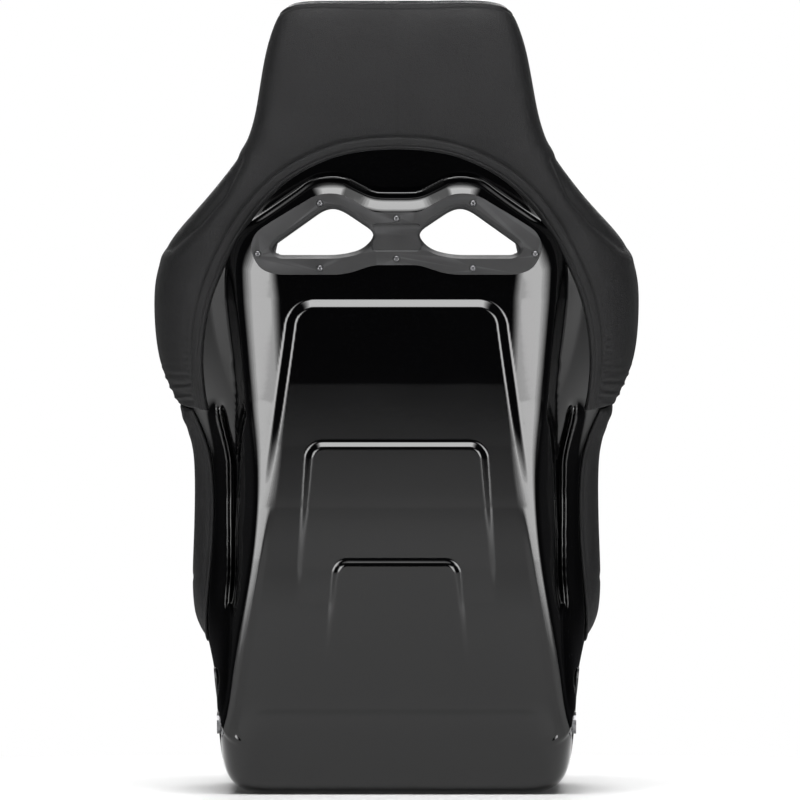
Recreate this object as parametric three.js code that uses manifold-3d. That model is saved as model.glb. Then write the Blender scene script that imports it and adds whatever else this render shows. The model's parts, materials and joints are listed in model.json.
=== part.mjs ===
// Fixed-back racing bucket seat: a lofted shell, its covers, pads, cushions, harness frame and fittings.
// Millimetres. X across the seat, -Y to the front, +Z up, origin under the middle of the seat.
import * as THREE from 'three';
import { mergeVertices } from 'three/addons/utils/BufferGeometryUtils.js';
import Module from 'manifold-3d';

const wasm = await Module();
wasm.setup();

// ---------- driving dimensions ----------
const SHELL_WALL = 4;            // laminate thickness
const GAP = 0.4;                 // gap kept between touching pieces
const COVER_SKIN = 3.2;          // upholstery on the outside of the shell
const PAD_START = 5;             // inset of the fixed pads' backs, just inside the laminate
const TAIL_TOP = 57;             // height where the rolled tail meets the flat of the back
const TAIL_Y = 86;               // rear face of the back at that height
const LEAN = 0.235;              // rearward lean of the back at the tail
const LEAN_GROWTH = 0.00006;     // how fast the lean grows with height
const BEZEL_Z = 640;             // height of the middle of the harness frame
const BEZEL_PLATE = 5;           // thickness of the harness frame plates
const TUNNEL_WALL = 2.4;         // wall of the tunnels through the back
const SCREW_R = 3.4;             // radius of a screw's head
const BACK_PAD = 26;             // thickness of the fixed foam on the back and head
const BASE_PAD = 14;             // thickness of the fixed foam on the pan
const ROLL_DEPTH = 10;           // how far the padded edge rolls stand beyond the rim
const MOUNT_Z = 82;              // height of the side-mount inserts
const MOUNT_Y = [-232, 53];      // front and rear inserts, 285 apart
const MOUNT_FACE_X = 206;        // outer face of an insert
const LAP_SLOT = { x: 205.6, y: 14, z: 126, length: 86, height: 26, tilt: 0.11 };
const CROTCH_SLOT = { y: -134, width: 84, length: 30 };

// Cross-sections from the front lip, under the pan, round the tail and up the back to the head.
// y, z: middle of the section on the outside; rimY, rimZ: its rim; w: half-width at the rim;
// flat, corner, wall: half-widths of the section's control points; wallAt, rimAt: their share of the depth.
const STATIONS = [
  { y: -325, z: 78, rimY: -318, rimZ: 112, w: 188, flat: 105, corner: 172, wall: 186, wallAt: 0.40, rimAt: 0.75 },
  { y: -300, z: 57, rimY: -292, rimZ: 148, w: 206, flat: 118, corner: 192, wall: 194, wallAt: 0.40, rimAt: 0.76 },
  { y: -240, z: 20, rimY: -240, rimZ: 186, w: 220, flat: 128, corner: 205, wall: 200, wallAt: 0.42, rimAt: 0.78 },
  { y: -160, z: 1, rimY: -165, rimZ: 204, w: 223, flat: 130, corner: 208, wall: 201, wallAt: 0.52, rimAt: 0.86 },
  { y: -66, z: -1, rimY: -100, rimZ: 206, w: 223, flat: 130, corner: 208, wall: 201, wallAt: 0.62, rimAt: 0.92 },
  { y: 34, z: -1, rimY: -62, rimZ: 202, w: 223, flat: 130, corner: 208, wall: 201, wallAt: 0.62, rimAt: 0.92 },
  { y: 70, z: 17, rimY: -40, rimZ: 206, w: 223, flat: 132, corner: 209, wall: 202, wallAt: 0.62, rimAt: 0.92 },
  { y: 87, z: 57, rimY: -28, rimZ: 222, w: 227, flat: 136, corner: 210, wall: 203, wallAt: 0.55, rimAt: 0.90 },
  { y: 94, z: 100, rimY: -20, rimZ: 246, w: 229, flat: 134, corner: 206, wall: 203, wallAt: 0.48, rimAt: 0.84 },
  { y: 93, z: 150, rimY: -14, rimZ: 272, w: 229, flat: 128, corner: 198, wall: 200, wallAt: 0.42, rimAt: 0.78 },
  { y: 88, z: 200, rimY: -9, rimZ: 300, w: 228, flat: 120, corner: 184, wall: 194, wallAt: 0.42, rimAt: 0.78 },
  { y: 86, z: 260, rimY: -5, rimZ: 335, w: 227, flat: 112, corner: 173, wall: 189, wallAt: 0.40, rimAt: 0.76 },
  { y: 94, z: 330, rimY: 0, rimZ: 378, w: 227, flat: 108, corner: 168, wall: 190, wallAt: 0.38, rimAt: 0.74 },
  { y: 112, z: 400, rimY: 8, rimZ: 425, w: 236, flat: 110, corner: 172, wall: 205, wallAt: 0.36, rimAt: 0.72 },
  { y: 138, z: 480, rimY: 22, rimZ: 490, w: 265, flat: 118, corner: 186, wall: 240, wallAt: 0.32, rimAt: 0.68 },
  { y: 169, z: 560, rimY: 45, rimZ: 560, w: 274, flat: 124, corner: 196, wall: 258, wallAt: 0.30, rimAt: 0.65 },
  { y: 195, z: 620, rimY: 88, rimZ: 622, w: 260, flat: 120, corner: 194, wall: 246, wallAt: 0.28, rimAt: 0.64 },
  { y: 220, z: 680, rimY: 140, rimZ: 676, w: 213, flat: 104, corner: 170, wall: 206, wallAt: 0.26, rimAt: 0.62 },
  { y: 242, z: 740, rimY: 182, rimZ: 736, w: 169, flat: 88, corner: 142, wall: 166, wallAt: 0.25, rimAt: 0.60 },
  { y: 259, z: 800, rimY: 206, rimZ: 798, w: 151, flat: 80, corner: 130, wall: 149, wallAt: 0.25, rimAt: 0.60 },
  { y: 267, z: 850, rimY: 220, rimZ: 846, w: 141, flat: 76, corner: 122, wall: 139, wallAt: 0.25, rimAt: 0.60 },
  { y: 264, z: 885, rimY: 226, rimZ: 868, w: 132, flat: 72, corner: 114, wall: 130, wallAt: 0.25, rimAt: 0.60 },
  { y: 250, z: 898, rimY: 226, rimZ: 878, w: 125, flat: 68, corner: 106, wall: 123, wallAt: 0.25, rimAt: 0.60 },
];
const LAST = STATIONS.length - 1;

// Named places along the loft, in station numbers.
const TAIL = 7;
const HIP = 9.2;
const COVER_FOOT = 13.45;
const SHOULDER = 14.2;
const NECK = 17.3;

// Outline of the raised centre body and harness pod, right half, from the tail up.
const RAISED_OUTLINE = [
  [207, 30], [202, 70], [192, 109], [185, 162], [176, 216], [167, 270], [162, 320], [161, 360], [163, 400],
  [169, 448], [174, 510], [178, 566], [180, 600], [177, 622], [167, 640], [150, 654], [112, 682], [92, 698],
  [62, 700], [45, 691], [25, 681], [0, 681],
];

// ---------- smooth curves ----------
// Natural cubic spline through values at 0, 1, 2 ...
function spline(values) {
  const n = values.length;
  const second = new Array(n).fill(0);
  const upper = new Array(n).fill(0);
  for (let i = 1; i < n - 1; i++) {
    const p = 4 + upper[i - 1];
    upper[i] = -1 / p;
    const bend = 6 * (values[i + 1] - 2 * values[i] + values[i - 1]);
    second[i] = (bend - second[i - 1]) / p;
  }
  for (let i = n - 2; i > 0; i--) second[i] += upper[i] * second[i + 1];
  return (t) => {
    const i = Math.min(Math.max(Math.floor(t), 0), n - 2);
    const b = t - i;
    const a = 1 - b;
    const curve = ((a ** 3 - a) * second[i] + (b ** 3 - b) * second[i + 1]) / 6;
    return a * values[i] + b * values[i + 1] + curve;
  };
}

const along = {};
for (const key of Object.keys(STATIONS[0])) along[key] = spline(STATIONS.map((row) => row[key]));

// Clamped cubic B-spline weights for a full section of 13 control points, u from -1 to 1.
const CONTROL_COUNT = 13;
const KNOTS = [0, 0, 0, ...Array.from({ length: CONTROL_COUNT - 2 }, (_, i) => i)];
KNOTS.push(CONTROL_COUNT - 3, CONTROL_COUNT - 3, CONTROL_COUNT - 3);
function sectionWeights(u) {
  const top = CONTROL_COUNT - 3;
  const t = Math.min(((u + 1) / 2) * top, top - 1e-9);
  let weights = new Array(KNOTS.length - 1).fill(0);
  weights[KNOTS.findIndex((knot, i) => knot <= t && t < KNOTS[i + 1])] = 1;
  for (let degree = 1; degree <= 3; degree++) {
    weights = weights.slice(0, -1).map((w, i) => {
      const left = KNOTS[i + degree] - KNOTS[i];
      const right = KNOTS[i + degree + 1] - KNOTS[i + 1];
      const rise = left > 0 ? ((t - KNOTS[i]) / left) * w : 0;
      return rise + (right > 0 ? ((KNOTS[i + degree + 1] - t) / right) * weights[i + 1] : 0);
    });
  }
  return weights;
}

// Half-section control points at station s: [across, share of depth, inset across, inset in depth].
function halfSection(s) {
  const flat = along.flat(s);
  const w = along.w(s);
  return [
    [0, 0, 0, 1], [flat / 2, 0, 0, 1], [flat, 0, 0, 1], [along.corner(s), 0, -1, 1],
    [along.wall(s), along.wallAt(s), -1, 0], [w, along.rimAt(s), -1, 0], [w, 1, -1, 0],
  ];
}

// A point of the smooth loft: u across (-1 to 1), s along, inset in mm towards the sitter.
function smoothLoft(u, s, inset) {
  const weights = sectionWeights(u);
  const half = halfSection(s);
  const spine = new THREE.Vector2(along.y(s), along.z(s));
  const depth = new THREE.Vector2(along.rimY(s), along.rimZ(s)).sub(spine);
  const length = depth.length();
  let across = 0;
  let share = 0;
  weights.forEach((weight, i) => {
    const side = i - 6;
    const [x, k, insetX, insetK] = half[Math.abs(side)];
    across += weight * Math.sign(side) * (x + inset * insetX);
    share += weight * (k + (inset * insetK) / length);
  });
  const z = spine.y + depth.y * share;
  return new THREE.Vector3(across, spine.x + depth.x * share, Math.max(z, inset > 0 ? inset : 0));
}

// A point on the flat facets between the loft's grid lines, so that pieces lying on each other,
// whatever their own edges, share the same facets. The left half mirrors the right.
const COLUMNS = Array.from({ length: 21 }, (_, i) => (i - 10) / 10);
const ROWS = [0, 1, 2, 3, 4, 5, 6, ...Array.from({ length: 31 }, (_, i) => 7 + i / 2)];
function loft(u, s, inset) {
  const side = u < 0 ? -1 : 1;
  const cell = (lines, value) =>
    Math.min(lines.findLastIndex((line) => line <= value + 1e-6), lines.length - 2);
  const column = cell(COLUMNS, Math.abs(u));
  const row = cell(ROWS, s);
  const across = (Math.abs(u) - COLUMNS[column]) / (COLUMNS[column + 1] - COLUMNS[column]);
  const up = (s - ROWS[row]) / (ROWS[row + 1] - ROWS[row]);
  const corner = (i, j) => smoothLoft(COLUMNS[column + i], ROWS[row + j], inset);
  const near = corner(0, 0);
  const far = corner(1, 1);
  const turn = across >= up ? corner(1, 0) : corner(0, 1);
  const [first, second] = across >= up ? [across, up] : [up, across];
  const point = near.clone().addScaledVector(turn.clone().sub(near), first);
  point.addScaledVector(far.clone().sub(turn), second);
  point.x *= side;
  return point;
}

// Rear face of the raised centre body.
function rearFace(z) {
  const rise = z - TAIL_TOP;
  return TAIL_Y + LEAN * rise + LEAN_GROWTH * rise * rise;
}

// How far (x, z) lies inside the raised outline; negative outside.
function insideRaised(x, z) {
  const px = Math.abs(x);
  let nearest = Infinity;
  let inside = false;
  for (let i = 0; i < RAISED_OUTLINE.length - 1; i++) {
    const [ax, az] = RAISED_OUTLINE[i];
    const [bx, bz] = RAISED_OUTLINE[i + 1];
    const t = ((px - ax) * (bx - ax) + (z - az) * (bz - az)) / ((bx - ax) ** 2 + (bz - az) ** 2);
    const c = Math.min(Math.max(t, 0), 1);
    nearest = Math.min(nearest, Math.hypot(px - ax - c * (bx - ax), z - az - c * (bz - az)));
    if (Math.min(ax, bx) <= px && px < Math.max(ax, bx)) {
      const edge = az + ((px - ax) / (bx - ax)) * (bz - az);
      if (edge > z) inside = !inside;
    }
  }
  return inside ? nearest : -nearest;
}

// The shell's outer face with the raised body pushed out to the rear, from the tail up to the head.
const RAISED_ROUNDING = 24;
const RAISED_END_Z = 705;
function shellPoint(u, s, inset) {
  const point = smoothLoft(u, s, inset);
  const outer = smoothLoft(u, s, 0);
  if (s < TAIL || outer.z > RAISED_END_Z) return point;
  const reach = insideRaised(outer.x, outer.z) / RAISED_ROUNDING;
  if (reach <= 0) return point;
  const share = 1 - (1 - Math.min(reach, 1)) ** 2.4;
  point.y += Math.max(rearFace(outer.z) - outer.y, 0) * share;
  return point;
}

// ---------- solids ----------
function toManifold(geometry) {
  const bare = geometry.clone();
  bare.deleteAttribute('normal');
  bare.deleteAttribute('uv');
  const merged = mergeVertices(bare, 1e-4);
  const mesh = new wasm.Mesh({
    numProp: 3,
    vertProperties: new Float32Array(merged.attributes.position.array),
    triVerts: new Uint32Array(merged.index.array),
  });
  return new wasm.Manifold(mesh);
}

function fromManifold(solid) {
  const mesh = solid.getMesh();
  const geometry = new THREE.BufferGeometry();
  geometry.setAttribute('position', new THREE.BufferAttribute(new Float32Array(mesh.vertProperties), 3));
  geometry.setIndex(new THREE.BufferAttribute(new Uint32Array(mesh.triVerts), 1));
  return geometry;
}

function cut(geometry, ...tools) {
  let solid = toManifold(geometry);
  for (const tool of tools) solid = solid.subtract(toManifold(tool));
  return fromManifold(solid);
}

function signedVolume(vertices, triangles) {
  let sum = 0;
  for (const [a, b, c] of triangles) {
    sum += vertices[a].dot(vertices[b].clone().cross(vertices[c])) / 6;
  }
  return sum;
}

function closedGeometry(vertices, triangles) {
  const flip = signedVolume(vertices, triangles) < 0;
  const geometry = new THREE.BufferGeometry();
  geometry.setAttribute('position', new THREE.Float32BufferAttribute(vertices.flatMap((v) => v.toArray()), 3));
  geometry.setIndex(triangles.flatMap(([a, b, c]) => (flip ? [a, c, b] : [a, b, c])));
  return geometry;
}

// The shared grid lines from one value to another, ends included.
const gridLines = (from, to, lines) =>
  [from, ...lines.filter((line) => line > from + 0.01 && line < to - 0.01), to];

// A closed solid between two faces over area { u: [from, to], s: [from, to] } of the loft.
// face(u, s, side) gives the points, side 0 or 1.
function sheetSolid(area, face) {
  const us = gridLines(...area.u, COLUMNS);
  const ss = gridLines(...area.s, ROWS);
  const columns = us.length - 1;
  const rows = ss.length - 1;
  const vertices = [];
  const triangles = [];
  for (const side of [0, 1]) {
    for (const s of ss) {
      for (const u of us) vertices.push(face(u, s, side));
    }
  }
  const at = (i, j, side) => side * (columns + 1) * (rows + 1) + j * (columns + 1) + i;
  const quad = (a, b, c, d) => triangles.push([a, b, c], [a, c, d]);
  for (let j = 0; j < rows; j++) {
    for (let i = 0; i < columns; i++) {
      const right = us[i] + us[i + 1] > 0;
      const [a, b] = right ? [i, i + 1] : [i + 1, i];
      for (const side of [0, 1]) {
        const corners = [at(a, j, side), at(b, j, side), at(b, j + 1, side), at(a, j + 1, side)];
        if ((side === 1) === right) corners.splice(1, 3, corners[3], corners[2], corners[1]);
        quad(...corners);
      }
    }
  }
  for (let i = 0; i < columns; i++) {
    quad(at(i, 0, 0), at(i, 0, 1), at(i + 1, 0, 1), at(i + 1, 0, 0));
    quad(at(i, rows, 0), at(i + 1, rows, 0), at(i + 1, rows, 1), at(i, rows, 1));
  }
  for (let j = 0; j < rows; j++) {
    quad(at(0, j, 0), at(0, j + 1, 0), at(0, j + 1, 1), at(0, j, 1));
    quad(at(columns, j, 0), at(columns, j, 1), at(columns, j + 1, 1), at(columns, j + 1, 0));
  }
  return closedGeometry(vertices, triangles);
}

const mix = (a, b, t) => a + (b - a) * t;

// A pad on the loft: its back at an inset, crowned in front.
function pad(area, back, thickness, crown) {
  return sheetSolid(area, (u, s, side) => {
    const p = (u - area.u[0]) / (area.u[1] - area.u[0]);
    const q = (s - area.s[0]) / (area.s[1] - area.s[0]);
    const swell = Math.sqrt(Math.max(Math.sin(Math.PI * p) * Math.sin(Math.PI * q), 0));
    return loft(u, s, side ? back + thickness - crown + crown * swell : back);
  });
}
const sideArea = (side, from, to, s) => ({ u: side > 0 ? [from, to] : [-to, -from], s });

// A half-round roll beyond an edge; stops are { outer, inner, forward } with the two edge points.
function edgeRoll(stops, depth) {
  const steps = 5;
  const ring = (stop) => {
    const middle = stop.outer.clone().add(stop.inner).multiplyScalar(0.5);
    middle.addScaledVector(stop.forward, 2 * GAP);
    const half = stop.outer.clone().sub(stop.inner).multiplyScalar(0.5);
    return Array.from({ length: steps + 1 }, (_, i) => {
      const angle = (Math.PI * i) / steps;
      const point = middle.clone().addScaledVector(half, Math.cos(angle));
      return point.addScaledVector(stop.forward, depth * Math.sin(angle));
    });
  };
  const vertices = stops.flatMap(ring);
  const triangles = [];
  const size = steps + 1;
  for (let j = 0; j < stops.length - 1; j++) {
    for (let i = 0; i < size; i++) {
      const a = j * size + i;
      const b = j * size + ((i + 1) % size);
      triangles.push([a, b, b + size], [a, b + size, a + size]);
    }
  }
  const last = (stops.length - 1) * size;
  for (let i = 1; i < steps; i++) {
    triangles.push([0, i + 1, i]);
    triangles.push([last, last + i, last + i + 1]);
  }
  return closedGeometry(vertices, triangles);
}

// A stop of an edge roll on the rim of one side; near the ends it turns towards a given direction.
function rimStop(side, s, outerInset, innerInset, turn = 0, towards = new THREE.Vector3()) {
  const outer = loft(side, s, outerInset);
  const inner = loft(side, s, innerInset);
  const forward = loft(side, s, 0).sub(loft(side * 0.9, s, 0)).setX(0).normalize();
  return { outer, inner, forward: forward.lerp(towards, turn).normalize() };
}
const rimStops = (side, s, outerInset, innerInset) =>
  gridLines(...s, ROWS).map((at) => rimStop(side, at, outerInset, innerInset));

// Prism of a closed outline drawn in X and Z, running along Y and leaning with the harness frame.
const BEZEL_SLOPE = LEAN + 2 * LEAN_GROWTH * (BEZEL_Z - TAIL_TOP);
function leaningPrism(shape, nearY, farY) {
  const options = { depth: farY - nearY, bevelEnabled: false, curveSegments: 3 };
  const geometry = new THREE.ExtrudeGeometry(shape, options);
  const start = nearY - BEZEL_SLOPE * BEZEL_Z;
  const lean = new THREE.Matrix4().set(1, 0, 0, 0, 0, BEZEL_SLOPE, 1, start, 0, 1, 0, 0, 0, 0, 0, 1);
  geometry.applyMatrix4(lean);
  return facingOut(geometry);
}

// The same geometry with its faces turned outwards.
function facingOut(geometry) {
  const position = geometry.attributes.position;
  const index = geometry.index ? [...geometry.index.array] : [...Array(position.count).keys()];
  const vertices = Array.from({ length: position.count }, (_, i) =>
    new THREE.Vector3().fromBufferAttribute(position, i));
  const triangles = [];
  for (let i = 0; i < index.length; i += 3) triangles.push([index[i], index[i + 1], index[i + 2]]);
  return closedGeometry(vertices, triangles);
}

// Closed outline through corners [x, z, radius], rounded at each corner.
function roundedOutline(corners, grow = 0) {
  const shape = new THREE.Shape();
  const count = corners.length;
  const points = corners.map(([x, z]) => new THREE.Vector2(x, z));
  const centre = points.reduce((sum, p) => sum.clone().add(p), new THREE.Vector2()).divideScalar(count);
  const grown = points.map((p) => p.clone().add(p.clone().sub(centre).normalize().multiplyScalar(grow)));
  grown.forEach((point, i) => {
    const before = grown[(i + count - 1) % count];
    const after = grown[(i + 1) % count];
    const radiusBefore = Math.min(corners[i][2], point.distanceTo(before) * 0.49);
    const radiusAfter = Math.min(corners[i][2], point.distanceTo(after) * 0.49);
    const start = point.clone().add(before.clone().sub(point).setLength(radiusBefore));
    const end = point.clone().add(after.clone().sub(point).setLength(radiusAfter));
    if (i === 0) shape.moveTo(start.x, start.y);
    else shape.lineTo(start.x, start.y);
    shape.quadraticCurveTo(point.x, point.y, end.x, end.y);
  });
  shape.closePath();
  return shape;
}

// ---------- outlines in X and Z, right half or right side ----------
// Corners of the harness frame and its openings carry a rounding radius: [x, z, radius].
const mirrored = (corners) => corners.map(([x, z, r]) => [-x, z, r]).reverse();
const BEZEL_HALF = [
  [26, 662.5, 8], [48, 676, 9], [64, 683.5, 9], [88, 683.5, 13], [141, 652, 18], [159, 640, 10],
  [165, 622, 12], [155, 600, 14], [137, 593, 10], [58, 593, 14], [26, 603.7, 8],
];
const BEZEL_OUTLINE = [...BEZEL_HALF, ...mirrored(BEZEL_HALF)];
const EYE = [
  [22, 640, 13], [64, 668, 13], [80, 668, 12], [141, 625, 9], [134, 615, 8], [62, 615, 16], [36, 622, 12],
];
const EYES = [EYE, mirrored(EYE)];
const SCREW_PLACES = [
  [0, 657], [86, 674], [156, 617.5], [86, 601.5], [0, 612], [-86, 601.5], [-156, 617.5], [-86, 674],
];
const ARCH_TOP = 734;
const ARCH_HALF = [
  [66, 727], [100, 713], [126, 697], [150, 674], [168, 651], [184, 626], [196, 604], [212, 568],
  [221, 530], [224, 492], [221, 453], [215, 400],
];

const BEZEL_Y = rearFace(BEZEL_Z) + 1.2;
const FRONT_BEZEL_Y = 165;
const BEZEL_CLEARANCE = 1.2;

// ---------- materials ----------
const finish = (color, roughness, metalness = 0) =>
  new THREE.MeshStandardMaterial({ color, roughness, metalness });
const GLOSS = finish(0x08080a, 0.12);
const FABRIC = finish(0x2b2b2e, 0.8);
const LEATHER = finish(0x1b1b1d, 0.55);
const SATIN = finish(0x333336, 0.42);
const STEEL = finish(0x3c3d40, 0.3, 1);
const HOOK = finish(0x111112, 0.95);

const seat = new THREE.Group();
function add(name, geometry, material) {
  const mesh = new THREE.Mesh(geometry, material.clone());
  mesh.name = name;
  seat.add(mesh);
}

// ---------- cutters shared by several pieces ----------
const eyeCutters = (grow) => EYES.map((eye) => leaningPrism(roundedOutline(eye, grow), 100, 330));

function screwAxisPlace(x, z, out) {
  const tilt = Math.atan(BEZEL_SLOPE);
  const y = BEZEL_Y + BEZEL_SLOPE * (z - BEZEL_Z);
  return new THREE.Vector3(x, y + out * Math.cos(tilt), z - out * Math.sin(tilt));
}

function screwHole([x, z], radius, length, out) {
  const geometry = new THREE.CylinderGeometry(radius, radius, length, 6).rotateX(-Math.atan(BEZEL_SLOPE));
  const place = screwAxisPlace(x, z, out);
  return geometry.translate(place.x, place.y, place.z);
}

// Rounded slot prism: along X (side belts) or along Z (crotch strap).
function slotPrism(length, height, depth, direction) {
  const r = height / 2;
  const reach = length / 2 - r;
  const shape = new THREE.Shape();
  shape.moveTo(-reach, -r);
  shape.lineTo(reach, -r);
  shape.absarc(reach, 0, r, -Math.PI / 2, Math.PI / 2, false);
  shape.lineTo(-reach, r);
  shape.absarc(-reach, 0, r, Math.PI / 2, Math.PI * 1.5, false);
  const geometry = new THREE.ExtrudeGeometry(shape, { depth, bevelEnabled: false, curveSegments: 4 });
  geometry.translate(0, 0, -depth / 2);
  if (direction === 'x') geometry.rotateX(Math.PI / 2).rotateZ(Math.PI / 2);
  return geometry;
}

// A prism of the lap belt slot, square to the flared side wall and centred at a distance out from it.
const lapPrism = (side, grow, depth, out) =>
  slotPrism(LAP_SLOT.length + grow, LAP_SLOT.height + grow, depth, 'x').translate(side * out, 0, 0)
    .rotateY(side * LAP_SLOT.tilt).translate(side * LAP_SLOT.x, LAP_SLOT.y, LAP_SLOT.z);
const crotchTool = (grow, low, high) =>
  slotPrism(CROTCH_SLOT.width + grow, CROTCH_SLOT.length + grow, high - low, 'z')
    .translate(0, CROTCH_SLOT.y, (low + high) / 2);

// A side-mount insert is a barrel through the wall with a flange bonded behind it.
const INSERT = { barrelR: 13, flangeR: 22, boreR: 4.2, flangeStart: 5.8, length: 9.8, segments: 14 };
function insertDisc(side, y, radius, from, to) {
  const disc = new THREE.CylinderGeometry(radius, radius, to - from, INSERT.segments).rotateZ(Math.PI / 2);
  return disc.translate(side * (MOUNT_FACE_X - (from + to) / 2), y, MOUNT_Z);
}
const insertTool = (side, y, grow) => insertDisc(side, y, INSERT.barrelR + grow, -11, 19);
const flangeTool = (side, y, grow) =>
  insertDisc(side, y, INSERT.flangeR + grow, INSERT.flangeStart - 0.2 - grow, INSERT.length + 0.2 + grow);
const mounts = [-1, 1].flatMap((side) => MOUNT_Y.map((y) => ({ side, y })));

// ---------- shell ----------
function makeShell() {
  const whole = { u: [-1, 1], s: [0, LAST] };
  const sheet = sheetSolid(whole, (u, s, side) => shellPoint(u, s, side ? SHELL_WALL : 0));
  const tools = [...eyeCutters(TUNNEL_WALL + 0.8)];
  tools.push(leaningPrism(roundedOutline(BEZEL_OUTLINE, BEZEL_CLEARANCE), BEZEL_Y - 0.5, BEZEL_Y + 12));
  for (const place of SCREW_PLACES) tools.push(screwHole(place, 2.3, 26, -4));
  for (const side of [-1, 1]) {
    tools.push(lapPrism(side, 0, 60, 0), lapPrism(side, 15, 8, 3.6));
  }
  for (const { side, y } of mounts) {
    tools.push(insertTool(side, y, 0.5), flangeTool(side, y, 0.5));
  }
  tools.push(crotchTool(0, -10, 20));
  return cut(sheet, ...tools);
}
add('shell', makeShell(), GLOSS);

// ---------- outer covers and edge rolls ----------
function archShape() {
  const shape = new THREE.Shape();
  const [footX, footZ] = ARCH_HALF.at(-1);
  shape.moveTo(-footX, footZ);
  for (const [x, z] of [...ARCH_HALF].reverse()) shape.lineTo(x, z);
  shape.lineTo(0, ARCH_TOP);
  for (const [x, z] of ARCH_HALF) shape.lineTo(-x, z);
  shape.closePath();
  return shape;
}

function makeRearCover() {
  const area = { u: [-1, 1], s: [COVER_FOOT, LAST] };
  const sheet = sheetSolid(area, (u, s, side) => loft(u, s, side ? -GAP : -COVER_SKIN));
  const arch = new THREE.ExtrudeGeometry(archShape(), { depth: 400, bevelEnabled: false });
  arch.rotateX(Math.PI / 2).translate(0, 400, 0);
  const nearShell = sheetSolid({ u: [-0.8, 0.8], s: [13.5, 18.5] }, (u, s, side) =>
    shellPoint(u, s, side ? SHELL_WALL : -GAP));
  const pieces = toManifold(cut(sheet, facingOut(arch), nearShell)).decompose();
  return fromManifold(pieces.reduce((a, b) => (a.volume() > b.volume() ? a : b)));
}
add('rear_cover', makeRearCover(), LEATHER);

function mirrorStop(stop) {
  const flip = (v) => v.clone().setX(-v.x);
  return { outer: flip(stop.outer), inner: flip(stop.inner), forward: flip(stop.forward) };
}

function makeUpperEdgeRoll() {
  const inner = PAD_START + BACK_PAD;
  const ahead = new THREE.Vector3(0, -1, 0.12).normalize();
  const side = gridLines(COVER_FOOT + 0.01, LAST, ROWS).map((s) => {
    const turn = Math.min(Math.max((s - LAST + 2) / 2, 0), 1);
    return rimStop(1, s, -COVER_SKIN, inner, turn, ahead);
  });
  const top = [...COLUMNS].reverse().slice(1, -1).map((u) => (
    { outer: loft(u, LAST, -COVER_SKIN), inner: loft(u, LAST, inner), forward: ahead.clone() }));
  return edgeRoll([...side, ...top, ...side.map(mirrorStop).reverse()], ROLL_DEPTH);
}
add('upper_edge_roll', makeUpperEdgeRoll(), LEATHER);

for (const [name, side] of [['left', -1], ['right', 1]]) {
  const strip = sheetSolid(sideArea(side, 0.845, 1, [6.8, 13.4]), (u, s, face) =>
    loft(u, s, face ? -2 * GAP : -COVER_SKIN));
  add(`wing_edge_cover_${name}`, strip, LEATHER);
  const stops = rimStops(side, [6.8, 13.42], -COVER_SKIN, PAD_START + BACK_PAD);
  add(`wing_edge_roll_${name}`, edgeRoll(stops, ROLL_DEPTH), LEATHER);
}

function makeFrontEdgeRoll() {
  const inner = PAD_START + 30;
  const ahead = new THREE.Vector3(0, -1, 0.5).normalize();
  const side = gridLines(0, 6.76, ROWS).reverse().map((s) => {
    const turn = Math.min(Math.max((2 - s) / 2, 0), 1);
    return rimStop(1, s, 0, inner, turn, ahead);
  });
  const front = [...COLUMNS].reverse().slice(1, -1).map((u) => (
    { outer: loft(u, 0, 0), inner: loft(u, 0, inner), forward: ahead.clone() }));
  return edgeRoll([...side, ...front, ...side.map(mirrorStop).reverse()], ROLL_DEPTH);
}
add('front_edge_roll', makeFrontEdgeRoll(), LEATHER);

// ---------- fixed pads ----------
const insertTools = (side) => mounts.filter((mount) => mount.side === side)
  .flatMap(({ y }) => [flangeTool(side, y, 0.8), insertTool(side, y, 0.8)]);

const backPad = pad({ u: [-0.56, 0.56], s: [7.9, NECK] }, PAD_START, BACK_PAD, 0);
const frontBezelEnd = FRONT_BEZEL_Y + BEZEL_PLATE + GAP;
const frontBezelSeat = leaningPrism(roundedOutline(BEZEL_OUTLINE, BEZEL_CLEARANCE), 60, frontBezelEnd);
add('back_pad', cut(backPad, ...eyeCutters(TUNNEL_WALL + 0.8), frontBezelSeat), FABRIC);
add('head_pad', pad({ u: [-0.995, 0.995], s: [NECK + 0.06, LAST - 0.02] }, PAD_START, BACK_PAD, 9), FABRIC);
const basePad = pad({ u: [-0.56, 0.56], s: [0.1, 5.1] }, PAD_START, BASE_PAD, 0);
add('base_pad', cut(basePad, crotchTool(8, -10, 60)), FABRIC);
for (const [name, side] of [['left', -1], ['right', 1]]) {
  const on = (from, to) => sideArea(side, 0.575, 0.995, [from, to]);
  add(`torso_bolster_${name}`, pad(on(HIP, SHOULDER), PAD_START, 34, 14), FABRIC);
  add(`shoulder_pad_${name}`, pad(on(SHOULDER + 0.03, NECK), PAD_START, 24, 9), FABRIC);
  const thigh = pad(on(0.1, 4.7), PAD_START, 30, 10);
  add(`thigh_bolster_${name}`, cut(thigh, ...insertTools(side)), FABRIC);
}

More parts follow.
